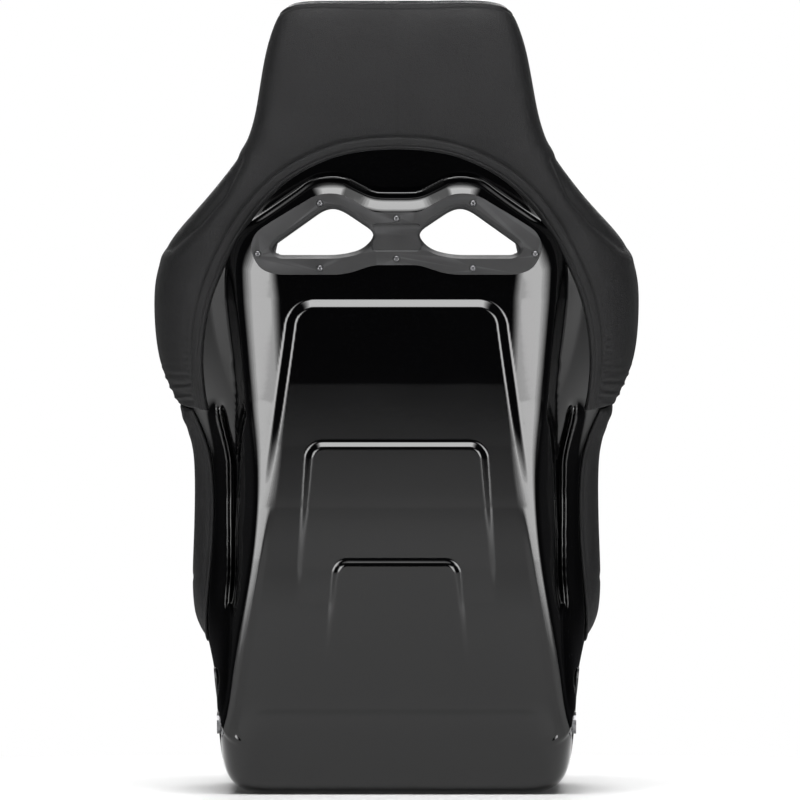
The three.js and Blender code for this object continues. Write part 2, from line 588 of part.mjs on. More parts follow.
// ---------- removable cushions and their hook-and-loop strips ----------
const SEAT_CUSHION_BACK = PAD_START + BASE_PAD + 2;
const BACK_CUSHION_BACK = PAD_START + BACK_PAD + 2;
const STRIP_THICKNESS = 1.1;
const seatCushion = pad({ u: [-0.47, 0.47], s: [0.35, 4.75] }, SEAT_CUSHION_BACK, 40, 12);
add('seat_cushion', cut(seatCushion, crotchTool(10, -10, 140)), FABRIC);
add('back_cushion', pad({ u: [-0.46, 0.46], s: [8.5, 13.4] }, BACK_CUSHION_BACK, 30, 12), FABRIC);
const STRIPS = [
  { name: 'seat_hook_strip_front', s: [1.5, 2.0], back: PAD_START + BASE_PAD + GAP },
  { name: 'seat_hook_strip_rear', s: [3.9, 4.3], back: PAD_START + BASE_PAD + GAP },
  { name: 'back_hook_strip_lower', s: [9.2, 9.8], back: PAD_START + BACK_PAD + GAP },
  { name: 'back_hook_strip_upper', s: [12.2, 12.6], back: PAD_START + BACK_PAD + GAP },
];
for (const strip of STRIPS) {
  add(strip.name, pad({ u: [-0.3, 0.3], s: strip.s }, strip.back, STRIP_THICKNESS, 0), HOOK);
}

// ---------- harness frame ----------
function makeRearBezel() {
  const plate = leaningPrism(roundedOutline(BEZEL_OUTLINE), BEZEL_Y, BEZEL_Y + BEZEL_PLATE);
  let solid = toManifold(plate);
  for (const eye of EYES) {
    solid = solid.add(toManifold(leaningPrism(roundedOutline(eye, TUNNEL_WALL), frontBezelEnd, BEZEL_Y + 1)));
  }
  for (const tool of eyeCutters(0)) solid = solid.subtract(toManifold(tool));
  for (const place of SCREW_PLACES) solid = solid.subtract(toManifold(screwHole(place, 2.2, 20, 0)));
  return fromManifold(solid);
}
add('rear_bezel', makeRearBezel(), SATIN);

function makeFrontBezel() {
  const plate = leaningPrism(roundedOutline(BEZEL_OUTLINE), FRONT_BEZEL_Y, FRONT_BEZEL_Y + BEZEL_PLATE);
  return cut(plate, ...eyeCutters(0));
}
add('front_bezel', makeFrontBezel(), SATIN);

// Button-head socket screw, drawn along +Y from the seat of its head.
const SCREW_PROFILE = [
  [0, -9], [1.6, -9], [1.6, 0.3], [SCREW_R, 0.3], [SCREW_R, 1.3], [2.5, 2.3], [1.5, 2.3], [1.3, 1.1], [0, 1.1],
];
SCREW_PLACES.forEach(([x, z], i) => {
  const points = SCREW_PROFILE.map(([r, y]) => new THREE.Vector2(r, y));
  const geometry = new THREE.LatheGeometry(points, 8).rotateX(-Math.atan(BEZEL_SLOPE));
  const place = screwAxisPlace(x, z, BEZEL_PLATE * Math.cos(Math.atan(BEZEL_SLOPE)));
  add(`bezel_screw_${i + 1}`, facingOut(geometry.translate(place.x, place.y, place.z)), STEEL);
});

// ---------- belt slot trims ----------
for (const [name, side] of [['left', -1], ['right', 1]]) {
  const joined = toManifold(lapPrism(side, -1, 13, -5.5)).add(toManifold(lapPrism(side, 12, 2.2, 1.3)));
  add(`lap_belt_trim_${name}`, cut(fromManifold(joined), lapPrism(side, -6, 60, 0)), SATIN);
}
{
  const sleeve = crotchTool(-1, 0.4, 17);
  const flange = crotchTool(6, 6.4, 8.4);
  const joined = fromManifold(toManifold(sleeve).add(toManifold(flange)));
  add('crotch_strap_trim', cut(joined, crotchTool(-6, -5, 40)), SATIN);
}

// ---------- side-mount inserts ----------
const INSERT_PROFILE = [
  [INSERT.boreR, 0], [INSERT.barrelR, 0], [INSERT.barrelR, INSERT.flangeStart],
  [INSERT.flangeR, INSERT.flangeStart], [INSERT.flangeR, INSERT.length], [INSERT.boreR, INSERT.length],
  [INSERT.boreR, 0],
];
mounts.forEach(({ side, y }, i) => {
  const points = INSERT_PROFILE.map(([r, depth]) => new THREE.Vector2(r, depth));
  const geometry = new THREE.LatheGeometry(points, INSERT.segments).rotateZ((side * Math.PI) / 2);
  add(`mount_insert_${i + 1}`, facingOut(geometry.translate(side * MOUNT_FACE_X, y, MOUNT_Z)), STEEL);
});

// Put the origin under the middle of the whole seat.
const box = new THREE.Box3().setFromObject(seat);
seat.position.set(0, -(box.min.y + box.max.y) / 2, -box.min.z);

export default seat;
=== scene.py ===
import json
import math

import bmesh
import bpy
import numpy as np
from mathutils import Matrix, Vector
from mathutils.bvhtree import BVHTree
from mathutils.kdtree import KDTree


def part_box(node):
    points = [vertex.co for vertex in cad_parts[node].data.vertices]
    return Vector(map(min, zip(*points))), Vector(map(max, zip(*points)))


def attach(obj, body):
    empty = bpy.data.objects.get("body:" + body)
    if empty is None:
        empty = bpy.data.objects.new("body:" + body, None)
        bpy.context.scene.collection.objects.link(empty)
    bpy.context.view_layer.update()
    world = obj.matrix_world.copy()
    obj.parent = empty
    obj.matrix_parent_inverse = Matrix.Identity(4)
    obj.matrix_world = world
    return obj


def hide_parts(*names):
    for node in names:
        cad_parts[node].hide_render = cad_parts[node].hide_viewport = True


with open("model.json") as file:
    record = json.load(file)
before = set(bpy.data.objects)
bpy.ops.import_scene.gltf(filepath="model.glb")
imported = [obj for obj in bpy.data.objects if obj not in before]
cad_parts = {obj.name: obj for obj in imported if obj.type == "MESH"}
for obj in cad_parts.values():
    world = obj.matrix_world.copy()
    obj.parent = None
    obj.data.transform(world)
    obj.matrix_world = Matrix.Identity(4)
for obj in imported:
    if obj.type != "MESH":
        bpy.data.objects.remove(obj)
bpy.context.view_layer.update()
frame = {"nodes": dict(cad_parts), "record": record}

# ---------- driving dimensions: mm, or places along the loft (0 front lip, LAST head rim) ----------
MM = 0.001
SHELL_WALL = 4.0
COVER_SKIN = 3.2
PAD_START = 5.0
TAIL_TOP, TAIL_Y = 57.0, 86.0
LEAN, LEAN_GROWTH = 0.235, 0.00006
BEZEL_Z = 640.0
BEZEL_SLOPE = LEAN + 2 * LEAN_GROWTH * (BEZEL_Z - TAIL_TOP)
COVER_FOOT = 13.45
NECK = 17.3
ROLL_DEPTH, ROLL_WIDTH, FRONT_ROLL_WIDTH = 10.0, 26.0, 30.0
BACK_PAD, BASE_PAD, CUSHION_GAP = 26.0, 14.0, 2.0
STITCH_SPACING, STITCH_LENGTH, THREAD_RADIUS = 4.2, 2.9, 0.38
SEAM_DEPTH, SEAM_WIDTH, SEAM_TO_STITCHES = 4.5, 3.4, 4.2
PIPING_RADIUS = 2.0
VOXEL, PRESSURE = 5.0, 4.0
BACK_FOOT, RAISED_TOP = 7, 716.0

# Sections of the loft, as in the CAD: middle y, z; rim y, z; half-width at the rim; half-widths of the
# flat, corner and wall control points; depth shares of the wall and rim control points.
STATIONS = np.array([
    (-325, 78, -318, 112, 188, 105, 172, 186, 0.40, 0.75),
    (-300, 57, -292, 148, 206, 118, 192, 194, 0.40, 0.76),
    (-240, 20, -240, 186, 220, 128, 205, 200, 0.42, 0.78),
    (-160, 1, -165, 204, 223, 130, 208, 201, 0.52, 0.86),
    (-66, -1, -100, 206, 223, 130, 208, 201, 0.62, 0.92),
    (34, -1, -62, 202, 223, 130, 208, 201, 0.62, 0.92),
    (70, 17, -40, 206, 223, 132, 209, 202, 0.62, 0.92),
    (87, 57, -28, 222, 227, 136, 210, 203, 0.55, 0.90),
    (94, 100, -20, 246, 229, 134, 206, 203, 0.48, 0.84),
    (93, 150, -14, 272, 229, 128, 198, 200, 0.42, 0.78),
    (88, 200, -9, 300, 228, 120, 184, 194, 0.42, 0.78),
    (86, 260, -5, 335, 227, 112, 173, 189, 0.40, 0.76),
    (94, 330, 0, 378, 227, 108, 168, 190, 0.38, 0.74),
    (112, 400, 8, 425, 236, 110, 172, 205, 0.36, 0.72),
    (138, 480, 22, 490, 265, 118, 186, 240, 0.32, 0.68),
    (169, 560, 45, 560, 274, 124, 196, 258, 0.30, 0.65),
    (195, 620, 88, 622, 260, 120, 194, 246, 0.28, 0.64),
    (220, 680, 140, 676, 213, 104, 170, 206, 0.26, 0.62),
    (242, 740, 182, 736, 169, 88, 142, 166, 0.25, 0.60),
    (259, 800, 206, 798, 151, 80, 130, 149, 0.25, 0.60),
    (267, 850, 220, 846, 141, 76, 122, 139, 0.25, 0.60),
    (264, 885, 226, 868, 132, 72, 114, 130, 0.25, 0.60),
    (250, 898, 226, 878, 125, 68, 106, 123, 0.25, 0.60),
], dtype=float)
LAST = len(STATIONS) - 1
Y, Z, RIM_Y, RIM_Z, WIDTH, FLAT, CORNER, WALL, WALL_AT, RIM_AT = range(10)
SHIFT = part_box("shell")[0][1] / MM - STATIONS[0, Y]


# ---------- smooth curves ----------
def second_derivatives(values):
    """Second derivatives of a natural cubic spline through values at 0, 1, 2 ..."""
    n = len(values)
    second = np.zeros_like(values)
    upper = np.zeros(n)
    for i in range(1, n - 1):
        p = 4 + upper[i - 1]
        upper[i] = -1 / p
        bend = 6 * (values[i + 1] - 2 * values[i] + values[i - 1])
        second[i] = (bend - second[i - 1]) / p
    for i in range(n - 2, 0, -1):
        second[i] += upper[i] * second[i + 1]
    return second


SECOND = second_derivatives(STATIONS)


def station(s):
    """All section values at positions s along the loft."""
    s = np.asarray(s, dtype=float)
    i = np.clip(np.floor(s).astype(int), 0, LAST - 1)
    b = (s - i)[..., None]
    a = 1 - b
    curve = ((a**3 - a) * SECOND[i] + (b**3 - b) * SECOND[i + 1]) / 6
    return a * STATIONS[i] + b * STATIONS[i + 1] + curve


CONTROLS = 13
TOP_KNOT = CONTROLS - 3
KNOTS = np.array([0] * 3 + list(range(CONTROLS - 2)) + [TOP_KNOT] * 3, dtype=float)


def section_weights(u):
    """Clamped cubic B-spline weights of the 13 section control points."""
    t = np.minimum((np.asarray(u, dtype=float) + 1) / 2 * TOP_KNOT, TOP_KNOT - 1e-9)[..., None]
    weights = ((KNOTS[:-1] <= t) & (t < KNOTS[1:])).astype(float)
    for degree in (1, 2, 3):
        n = len(KNOTS) - 1 - degree
        left = KNOTS[degree:degree + n] - KNOTS[:n]
        right = KNOTS[degree + 1:degree + 1 + n] - KNOTS[1:n + 1]
        rise = np.where(left > 0, (t - KNOTS[:n]) / np.where(left > 0, left, 1), 0)
        fall = np.where(right > 0, (KNOTS[degree + 1:degree + 1 + n] - t) / np.where(right > 0, right, 1), 0)
        weights = rise * weights[..., :n] + fall * weights[..., 1:n + 1]
    return weights


def loft(u, s, inset=0.0):
    """Points of the loft in the CAD's own millimetres, u across (-1 to 1), s along, inset to the sitter."""
    u, s, inset = np.broadcast_arrays(np.asarray(u, float), np.asarray(s, float), np.asarray(inset, float))
    row = station(s)
    weights = section_weights(u)
    zero = np.zeros_like(u)
    half_x = [zero, row[..., FLAT] / 2, row[..., FLAT], row[..., CORNER] - inset,
              row[..., WALL] - inset, row[..., WIDTH] - inset, row[..., WIDTH] - inset]
    depth_y = row[..., RIM_Y] - row[..., Y]
    depth_z = row[..., RIM_Z] - row[..., Z]
    push = inset / np.hypot(depth_y, depth_z)
    half_k = [push, push, push, push, row[..., WALL_AT], row[..., RIM_AT], zero + 1]
    across = np.zeros_like(u)
    share = np.zeros_like(u)
    for i in range(CONTROLS):
        side = i - 6
        across = across + weights[..., i] * np.sign(side) * half_x[abs(side)]
        share = share + weights[..., i] * half_k[abs(side)]
    z = row[..., Z] + depth_z * share
    z = np.maximum(z, np.maximum(inset, 0))
    return np.stack([across, row[..., Y] + depth_y * share, z], axis=-1)


def smoothstep(x):
    x = np.clip(x, 0, 1)
    return x * x * (3 - 2 * x)


def soft_positive(x, rounding):
    return 0.5 * (x + np.hypot(x, rounding))


def bell(x, width):
    return np.exp(-(x / width)**2)


def run_along(points):
    """Arc length at each point of a polyline, from 0."""
    return np.concatenate([[0], np.cumsum(np.linalg.norm(np.diff(points, axis=0), axis=1))])


def run_lengths(points, axis):
    """Arc length along one axis of a grid of points, from 0."""
    run = np.cumsum(np.linalg.norm(np.diff(points, axis=axis), axis=2), axis=axis)
    return np.concatenate([np.zeros_like(np.take(run, [0], axis=axis)), run], axis=axis)


def even_places(places, line, step, least=1, extra=1):
    """Loft parameters re-spaced so that their points lie about step mm apart on a line of points."""
    run = run_along(line)
    count = max(int(run[-1] / step), least) + extra
    return np.interp(np.linspace(0, run[-1], count), run, places)


def chamfer(x, rounding=0.17):
    """Rises 0 to 1 at an even slope, rounded at both ends."""
    x = np.clip(x, 0, 1)
    slope = 1 / (1 - rounding)
    start = x * x * slope / (2 * rounding)
    middle = slope * (x - rounding / 2)
    end = 1 - (1 - x)**2 * slope / (2 * rounding)
    return np.where(x < rounding, start, np.where(x > 1 - rounding, end, middle))


def rear_face(z):
    rise = z - TAIL_TOP
    return TAIL_Y + LEAN * rise + LEAN_GROWTH * rise * rise


def metres(points):
    """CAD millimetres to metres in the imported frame."""
    out = np.array(points, dtype=float)
    out[..., 1] += SHIFT
    return out * MM


# ---------- outlines ----------
def chaikin(points, rounds=3):
    """Rounds off a polyline's corners, keeping its two ends."""
    points = np.array(points, dtype=float)
    for _ in range(rounds):
        near = points[:-1] * 0.75 + points[1:] * 0.25
        far = points[:-1] * 0.25 + points[1:] * 0.75
        inner = np.stack([near, far], axis=1).reshape(-1, points.shape[1])
        points = np.vstack([points[:1], inner[1:-1], points[-1:]])
    return points


RAISED_OUTLINE = chaikin([
    (207, 30), (202, 70), (192, 109), (185, 162), (176, 216), (167, 270), (162, 320), (161, 360), (163, 400),
    (169, 448), (174, 510), (178, 566), (180, 600), (177, 622), (167, 640), (150, 654), (112, 682), (92, 698),
    (62, 700), (45, 691), (25, 681), (0, 681),
])
ARCH = chaikin([
    (0, 734), (30, 733), (66, 727), (100, 713), (126, 697), (150, 674), (168, 651), (184, 626), (196, 604),
    (212, 568), (221, 530), (224, 492), (221, 453), (218, 440),
])


def polyline_distance(x, z, points):
    """Distance in x and z from a polyline."""
    nearest = np.full(np.shape(x), np.inf)
    for (ax, az), (bx, bz) in zip(points[:-1], points[1:]):
        length = max((bx - ax)**2 + (bz - az)**2, 1e-9)
        t = np.clip(((x - ax) * (bx - ax) + (z - az) * (bz - az)) / length, 0, 1)
        nearest = np.minimum(nearest, np.hypot(x - ax - t * (bx - ax), z - az - t * (bz - az)))
    return nearest


def inside_raised(x, z):
    """Signed distance inside the raised body's outline."""
    px = np.abs(x)
    inside = np.zeros(px.shape, dtype=bool)
    for (ax, az), (bx, bz) in zip(RAISED_OUTLINE[:-1], RAISED_OUTLINE[1:]):
        if abs(bx - ax) > 1e-9:
            crossed = (min(ax, bx) <= px) & (px < max(ax, bx))
            inside ^= crossed & (az + (px - ax) / (bx - ax) * (bz - az) > z)
    nearest = polyline_distance(px, z, RAISED_OUTLINE)
    return np.where(inside, nearest, -nearest)


def rounded_distance(from_side, from_top, radius):
    """Distance inside a corner region bounded by a side and a top, rounded where they meet."""
    a = np.maximum(radius - from_side, 0)
    b = np.maximum(radius - from_top, 0)
    return np.where((a > 0) | (b > 0), radius - np.hypot(a, b), np.minimum(from_side, from_top))


def panel_side_1(z):
    drop = np.maximum(566 - z, 0)
    return 109 + 0.128 * drop + 0.00007 * drop * drop


def panel_side_2(z):
    return 99 + 0.078 * np.maximum(400 - z, 0)


def panel_side_3(z):
    return 70 + 0.108 * np.maximum(262 - z, 0)


def step_height(z, heights):
    """Height of a step by z, through (z, height) pairs."""
    zs, hs = zip(*sorted(heights))
    return np.interp(z, zs, hs)


def stiffening_steps(x, z):
    """How far the three stepped panels and the tail lip stand out of the raised body."""
    px = np.abs(x)
    first = rounded_distance(panel_side_1(z) + 13 - px, 567 - z, 30)
    out = step_height(z, [(330, 0), (400, 3), (470, 7), (570, 10)]) * chamfer(first / 12.5)
    second = rounded_distance(panel_side_2(z) + 4 - px, 406 - z, 20)
    out += step_height(z, [(222, 0), (260, 1.2), (316, 3.8), (410, 7.5)]) * chamfer(second / 9)
    third = rounded_distance(panel_side_3(z) + 3 - px, 271.5 - z, 17)
    out += step_height(z, [(135, 0), (200, 2.4), (275, 5.5)]) * chamfer(third / 8)
    lip = rounded_distance(panel_side_1(z) + 2 - px, z - 57, 26)
    out -= 2.6 * smoothstep((345 - z) / 90) * chamfer(lip / 6)
    return out


# The raised body's edge by height: z, then the rounded shoulder's width and depth.
SHOULDER_Z = [60, 109, 200, 270, 330, 450, 566, 600, 640, 690]
SHOULDER_WIDTH = [8, 10, 14, 17, 26, 44, 50, 48, 22, 18]
SHOULDER_DEPTH = [2.5, 2.675, 3, 4, 6, 12, 14, 14, 15, 17]
# Slope of the side wall beyond it, by height.
WALL_Z = [60, 200, 300, 420, 463, 509, 566, 640, 690]
WALL_SLOPE = [4.5, 4, 3.4, 3.6, 4.6, 4, 2.8, 3, 5]


def raised_body(inside, z):
    """Depth of the raised body below its rear face: a rounded shoulder, then a steep side wall."""
    width = np.interp(z, SHOULDER_Z, SHOULDER_WIDTH)
    depth = np.interp(z, SHOULDER_Z, SHOULDER_DEPTH)
    power = np.interp(z, [600, 660], [1.7, 1.15])
    slope = np.interp(z, WALL_Z, WALL_SLOPE)
    shoulder = depth * np.clip(1 - inside / width, 0, 1)**power
    return shoulder + slope * soft_positive(-inside, 1.5)


def wing_flange(x, z):
    """The shell's lip beside the wing strips, with the deep gutter inside it, from tail to shoulder."""
    px = np.abs(x)
    edge = 193 + 12 * smoothstep((z - 375) / 75) + 4 * smoothstep((260 - z) / 60)
    length = smoothstep((z - 200) / 40) * smoothstep((455 - z) / 25)
    across = np.clip((px - edge) / 15, 0, 1)
    lip = 7.5 * smoothstep((px - edge + 2) / 3) * (1 - smoothstep(across))
    gutter = 9 * bell(px - edge + 5, 3.5)
    return (lip - gutter) * length


def shell_points(u, s, inset):
    point = loft(u, s, inset)
    outer = loft(u, s, 0)
    x, z = outer[..., 0], outer[..., 2]
    inside = inside_raised(x, z)
    face = rear_face(z) - raised_body(inside, z) + stiffening_steps(x, z) * smoothstep(inside / 20)
    body = soft_positive(face - outer[..., 1], 1.0) + wing_flange(x, z)
    in_back = (s >= BACK_FOOT) & (z < RAISED_TOP)
    fade = smoothstep((z - TAIL_TOP + 4) / 10)
    point[..., 1] += np.where(in_back, body * fade, 0)
    return point


# ---------- mesh building ----------
def new_object(name, vertices, faces, smooth=True):
    mesh = bpy.data.meshes.new(name)
    mesh.from_pydata([tuple(v) for v in np.asarray(vertices)], [], [tuple(map(int, f)) for f in faces])
    mesh.update()
    obj = bpy.data.objects.new(name, mesh)
    bpy.context.scene.collection.objects.link(obj)
    clean(obj)
    if smooth:
        mesh.polygons.foreach_set("use_smooth", [True] * len(mesh.polygons))
    return obj


def clean(obj):
    """Drops loose points and turns every face out."""
    bm = bmesh.new()
    bm.from_mesh(obj.data)
    bmesh.ops.delete(bm, geom=[v for v in bm.verts if not v.link_faces], context="VERTS")
    bmesh.ops.recalc_face_normals(bm, faces=bm.faces)
    bm.to_mesh(obj.data)
    bm.free()


def sheet_mesh(name, front, back, keep=None):
    """A closed sheet between two grids of points (rows, columns, 3); keep masks its cells."""
    rows, columns = front.shape[:2]
    if keep is None:
        keep = np.ones((rows - 1, columns - 1), dtype=bool)
    index = np.arange(rows * columns).reshape(rows, columns)
    a, b = index[:-1, :-1][keep], index[:-1, 1:][keep]
    c, d = index[1:, 1:][keep], index[1:, :-1][keep]
    total = rows * columns
    faces = [np.stack([a, b, c, d], 1), np.stack([a, d, c, b], 1) + total]
    padded = np.pad(keep, 1)
    for shift_row, shift_column, first, second in (
        (-1, 0, (0, 0), (0, 1)), (1, 0, (1, 1), (1, 0)), (0, -1, (1, 0), (0, 0)), (0, 1, (0, 1), (1, 1)),
    ):
        beside = padded[1 + shift_row:rows + shift_row, 1 + shift_column:columns + shift_column]
        i, j = np.nonzero(keep & ~beside)
        p = index[i + first[0], j + first[1]]
        q = index[i + second[0], j + second[1]]
        faces.append(np.stack([q, p, p + total, q + total], 1))
    vertices = np.concatenate([metres(front).reshape(-1, 3), metres(back).reshape(-1, 3)])
    return new_object(name, vertices, np.concatenate(faces))


def tube_faces(rings, around, first=0):
    """Faces of a tube of rings of points, closed at both ends, from point number first on."""
    faces = []
    for j in range(rings - 1):
        for i in range(around):
            a, b = first + j * around + i, first + j * around + (i + 1) % around
            faces.append((a, b, b + around, a + around))
    end = first + (rings - 1) * around
    faces.append(tuple(range(first, first + around))[::-1])
    faces.append(tuple(range(end, end + around)))
    return faces


# ---------- materials ----------
def add_node(tree, kind, inputs=None, **settings):
    """A shader node with its settings; inputs are values, or sockets to link."""
    made = tree.nodes.new("ShaderNode" + kind)
    for key, value in settings.items():
        setattr(made, key, value)
    for key, value in (inputs or {}).items():
        if isinstance(value, bpy.types.NodeSocket):
            tree.links.new(value, made.inputs[key])
        else:
            made.inputs[key].default_value = value
    return made


def new_material(name, coat=0.0, coat_roughness=0.1, sheen=0.0, metallic=0.0, specular=0.5):
    material = bpy.data.materials.new(name)
    material.use_nodes = True
    tree = material.node_tree
    shader = tree.nodes["Principled BSDF"]
    shader.inputs["Coat Weight"].default_value = coat
    shader.inputs["Coat Roughness"].default_value = coat_roughness
    shader.inputs["Sheen Weight"].default_value = sheen
    shader.inputs["Sheen Roughness"].default_value = 0.45
    shader.inputs["Metallic"].default_value = metallic
    shader.inputs["Specular IOR Level"].default_value = specular
    place = add_node(tree, "TexCoord").outputs["Object"]
    return material, tree, shader, place


def noise(tree, place, scale, detail=3.0, roughness=0.55):
    inputs = {"Vector": place, "Scale": scale, "Detail": detail, "Roughness": roughness}
    return add_node(tree, "TexNoise", inputs).outputs["Fac"]


def spread(tree, value, low, high, from_low=0.3, from_high=0.7):
    inputs = {"Value": value, "From Min": from_low, "From Max": from_high, "To Min": low, "To Max": high}
    return add_node(tree, "MapRange", inputs).outputs["Result"]


def math_node(tree, operation, a, b=0.0):
    return add_node(tree, "Math", {0: a, 1: b}, operation=operation).outputs["Value"]


def mix_colour(tree, factor, low, high):
    mix = add_node(tree, "Mix", {"Factor": factor}, data_type="RGBA")
    mix.inputs[6].default_value = (*low, 1)
    mix.inputs[7].default_value = (*high, 1)
    return mix.outputs[2]


def dress(tree, shader, colour, roughness, layers):
    """Links colour, roughness and chained bump layers of (height socket, distance in metres)."""
    tree.links.new(colour, shader.inputs["Base Color"])
    tree.links.new(roughness, shader.inputs["Roughness"])
    normal = None
    for height, distance in layers:
        inputs = {"Height": height, "Distance": distance, "Strength": 1.0}
        if normal is not None:
            inputs["Normal"] = normal
        normal = add_node(tree, "Bump", inputs).outputs["Normal"]
    tree.links.new(normal, shader.inputs["Normal"])


def edge_wear(tree):
    pointiness = add_node(tree, "NewGeometry").outputs["Pointiness"]
    return spread(tree, pointiness, 0.0, 1.0, 0.52, 0.62)


def gel_coat():
    """Black gloss gel coat: faint orange peel, fine dust haze and slow waviness."""
    material, tree, shader, place = new_material("black_gel_coat", coat=0.15, coat_roughness=0.03)
    haze = noise(tree, place, 9, 5)
    dust = spread(tree, noise(tree, place, 420, 2), 0, 1, 0.55, 0.8)
    colour = mix_colour(tree, dust, (0.0004, 0.0004, 0.0005), (0.0016, 0.0016, 0.0018))
    wave, peel = noise(tree, place, 7, 1), noise(tree, place, 130, 1)
    dress(tree, shader, colour, spread(tree, haze, 0.05, 0.09), [(wave, 0.0009), (peel, 0.000018)])
    return material


def grained_leather():
    """Charcoal synthetic leather: pebbled grain with a soft sheen and slightly worn high spots."""
    material, tree, shader, place = new_material("grained_synthetic_leather", sheen=0.05, specular=0.24)
    cells = add_node(tree, "TexVoronoi", {"Vector": place, "Scale": 620.0}, feature="DISTANCE_TO_EDGE")
    grain = spread(tree, cells.outputs["Distance"], 0.0, 1.0, 0.0, 0.22)
    cloud = noise(tree, place, 16, 4)
    tone = math_node(tree, "MULTIPLY", grain, spread(tree, cloud, 0.72, 1.0))
    colour = mix_colour(tree, tone, (0.0022, 0.0022, 0.0024), (0.0058, 0.0058, 0.0064))
    layers = [(noise(tree, place, 46, 3), 0.0011), (grain, 0.00016)]
    dress(tree, shader, colour, spread(tree, cloud, 0.62, 0.5), layers)
    return material


def plane_weave(tree, across, along, pitch):
    """Plain weave height in one plane: threads pass over and under each other."""
    turn = math.pi / pitch
    warp = math_node(tree, "SINE", math_node(tree, "MULTIPLY", across, turn))
    weft = math_node(tree, "SINE", math_node(tree, "MULTIPLY", along, turn))
    over = math_node(tree, "GREATER_THAN", math_node(tree, "MULTIPLY", warp, weft), 0.0)
    under = math_node(tree, "SUBTRACT", 1.0, over)
    first = math_node(tree, "MULTIPLY", math_node(tree, "ABSOLUTE", warp), over)
    second = math_node(tree, "MULTIPLY", math_node(tree, "ABSOLUTE", weft), under)
    return math_node(tree, "ADD", first, second)


def weave_height(tree, place, pitch):
    """Weave in object space, laid on from the side that the surface faces."""
    axis = add_node(tree, "SeparateXYZ", {"Vector": place}).outputs
    normal = add_node(tree, "NewGeometry").outputs["Normal"]
    facing = add_node(tree, "SeparateXYZ", {"Vector": normal}).outputs
    planes = (("X", "Z", "Y"), ("X", "Y", "Z"), ("Y", "Z", "X"))
    total = 0.0
    weight_sum = 0.0
    for across, along, out in planes:
        weight = math_node(tree, "POWER", math_node(tree, "ABSOLUTE", facing[out]), 4.0)
        height = plane_weave(tree, axis[across], axis[along], pitch)
        total = math_node(tree, "ADD", math_node(tree, "MULTIPLY", height, weight), total)
        weight_sum = math_node(tree, "ADD", weight, weight_sum)
    return math_node(tree, "DIVIDE", total, weight_sum)


def woven_upholstery():
    """Matte upholstery cloth: plain weave, slubs, and pilling that lightens it in places."""
    material, tree, shader, place = new_material("woven_upholstery", sheen=0.35, specular=0.25)
    weave = weave_height(tree, place, 0.0011)
    slubs = noise(tree, place, 240, 3)
    cloud = noise(tree, place, 11, 4)
    tone = math_node(tree, "MULTIPLY", weave, spread(tree, cloud, 0.65, 1.0))
    tone = math_node(tree, "MULTIPLY", tone, spread(tree, slubs, 0.7, 1.0))
    colour = mix_colour(tree, tone, (0.007, 0.007, 0.008), (0.034, 0.034, 0.037))
    layers = [(noise(tree, place, 60, 2), 0.0008), (weave, 0.00035), (slubs, 0.0002)]
    dress(tree, shader, colour, spread(tree, cloud, 0.95, 0.82), layers)
    return material


def moulded_plastic():
    """Dark satin moulded plastic: fine spark texture, flow variation and rubbed edges."""
    material, tree, shader, place = new_material("satin_moulded_plastic", specular=0.5)
    cloud = noise(tree, place, 24, 4)
    worn = math_node(tree, "MULTIPLY", edge_wear(tree), cloud)
    colour = mix_colour(tree, worn, (0.009, 0.009, 0.0095), (0.04, 0.04, 0.042))
    spark = noise(tree, place, 900, 2)
    dress(tree, shader, colour, spread(tree, cloud, 0.36, 0.48), [(spark, 0.00012)])
    return material


def blackened_steel():
    """Oil-blackened steel: turned marks, patchy oxide and bright rubbed edges."""
    material, tree, shader, place = new_material("blackened_steel", metallic=1.0)
    patches = noise(tree, place, 180, 4)
    bright = math_node(tree, "MULTIPLY", edge_wear(tree), spread(tree, patches, 0.3, 1.0))
    colour = mix_colour(tree, bright, (0.12, 0.12, 0.125), (0.5, 0.5, 0.51))
    marks = noise(tree, place, 1400, 2)
    dress(tree, shader, colour, spread(tree, patches, 0.28, 0.46), [(marks, 0.00003)])
    return material


def hook_tape():
    """Hook tape: rows of stiff hooks on a woven back."""
    material, tree, shader, place = new_material("hook_tape", sheen=0.2, specular=0.3)
    hooks = weave_height(tree, place, 0.0016)
    fuzz = noise(tree, place, 800, 3)
    tone = math_node(tree, "MULTIPLY", hooks, fuzz)
    colour = mix_colour(tree, tone, (0.006, 0.006, 0.006), (0.05, 0.05, 0.05))
    dress(tree, shader, colour, spread(tree, fuzz, 0.8, 0.98), [(hooks, 0.0008), (fuzz, 0.0004)])
    return material


def thread_material():
    """Twisted sewing thread."""
    material, tree, shader, place = new_material("sewing_thread", sheen=0.2, specular=0.4)
    twist = noise(tree, place, 1600, 2)
    colour = mix_colour(tree, twist, (0.02, 0.02, 0.021), (0.075, 0.075, 0.078))
    dress(tree, shader, colour, spread(tree, twist, 0.45, 0.7), [(twist, 0.0002)])
    return material


THREAD = thread_material()
SLOTS = {
    "gloss_shell": gel_coat(), "cover": grained_leather(), "fabric": woven_upholstery(),
    "satin_plastic": moulded_plastic(), "steel": blackened_steel(), "hook_tape": hook_tape(),
}


def finish_piece(obj, slot, body="seat_frame", replaces=()):
    """Gives a piece its material and body, and hides the CAD parts that it replaces."""
    obj.data.materials.clear()
    obj.data.materials.append(SLOTS[slot])
    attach(obj, body)
    if replaces:
        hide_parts(*replaces)


# ---------- shell ----------
def even_columns(step):
    """Column places u from rim to rim, evenly spaced in mm on a middle section."""
    fine = np.linspace(0, 1, 801)
    places = even_places(fine, loft(fine, 13.0, 0), step)
    return np.concatenate([-places[:0:-1], places])


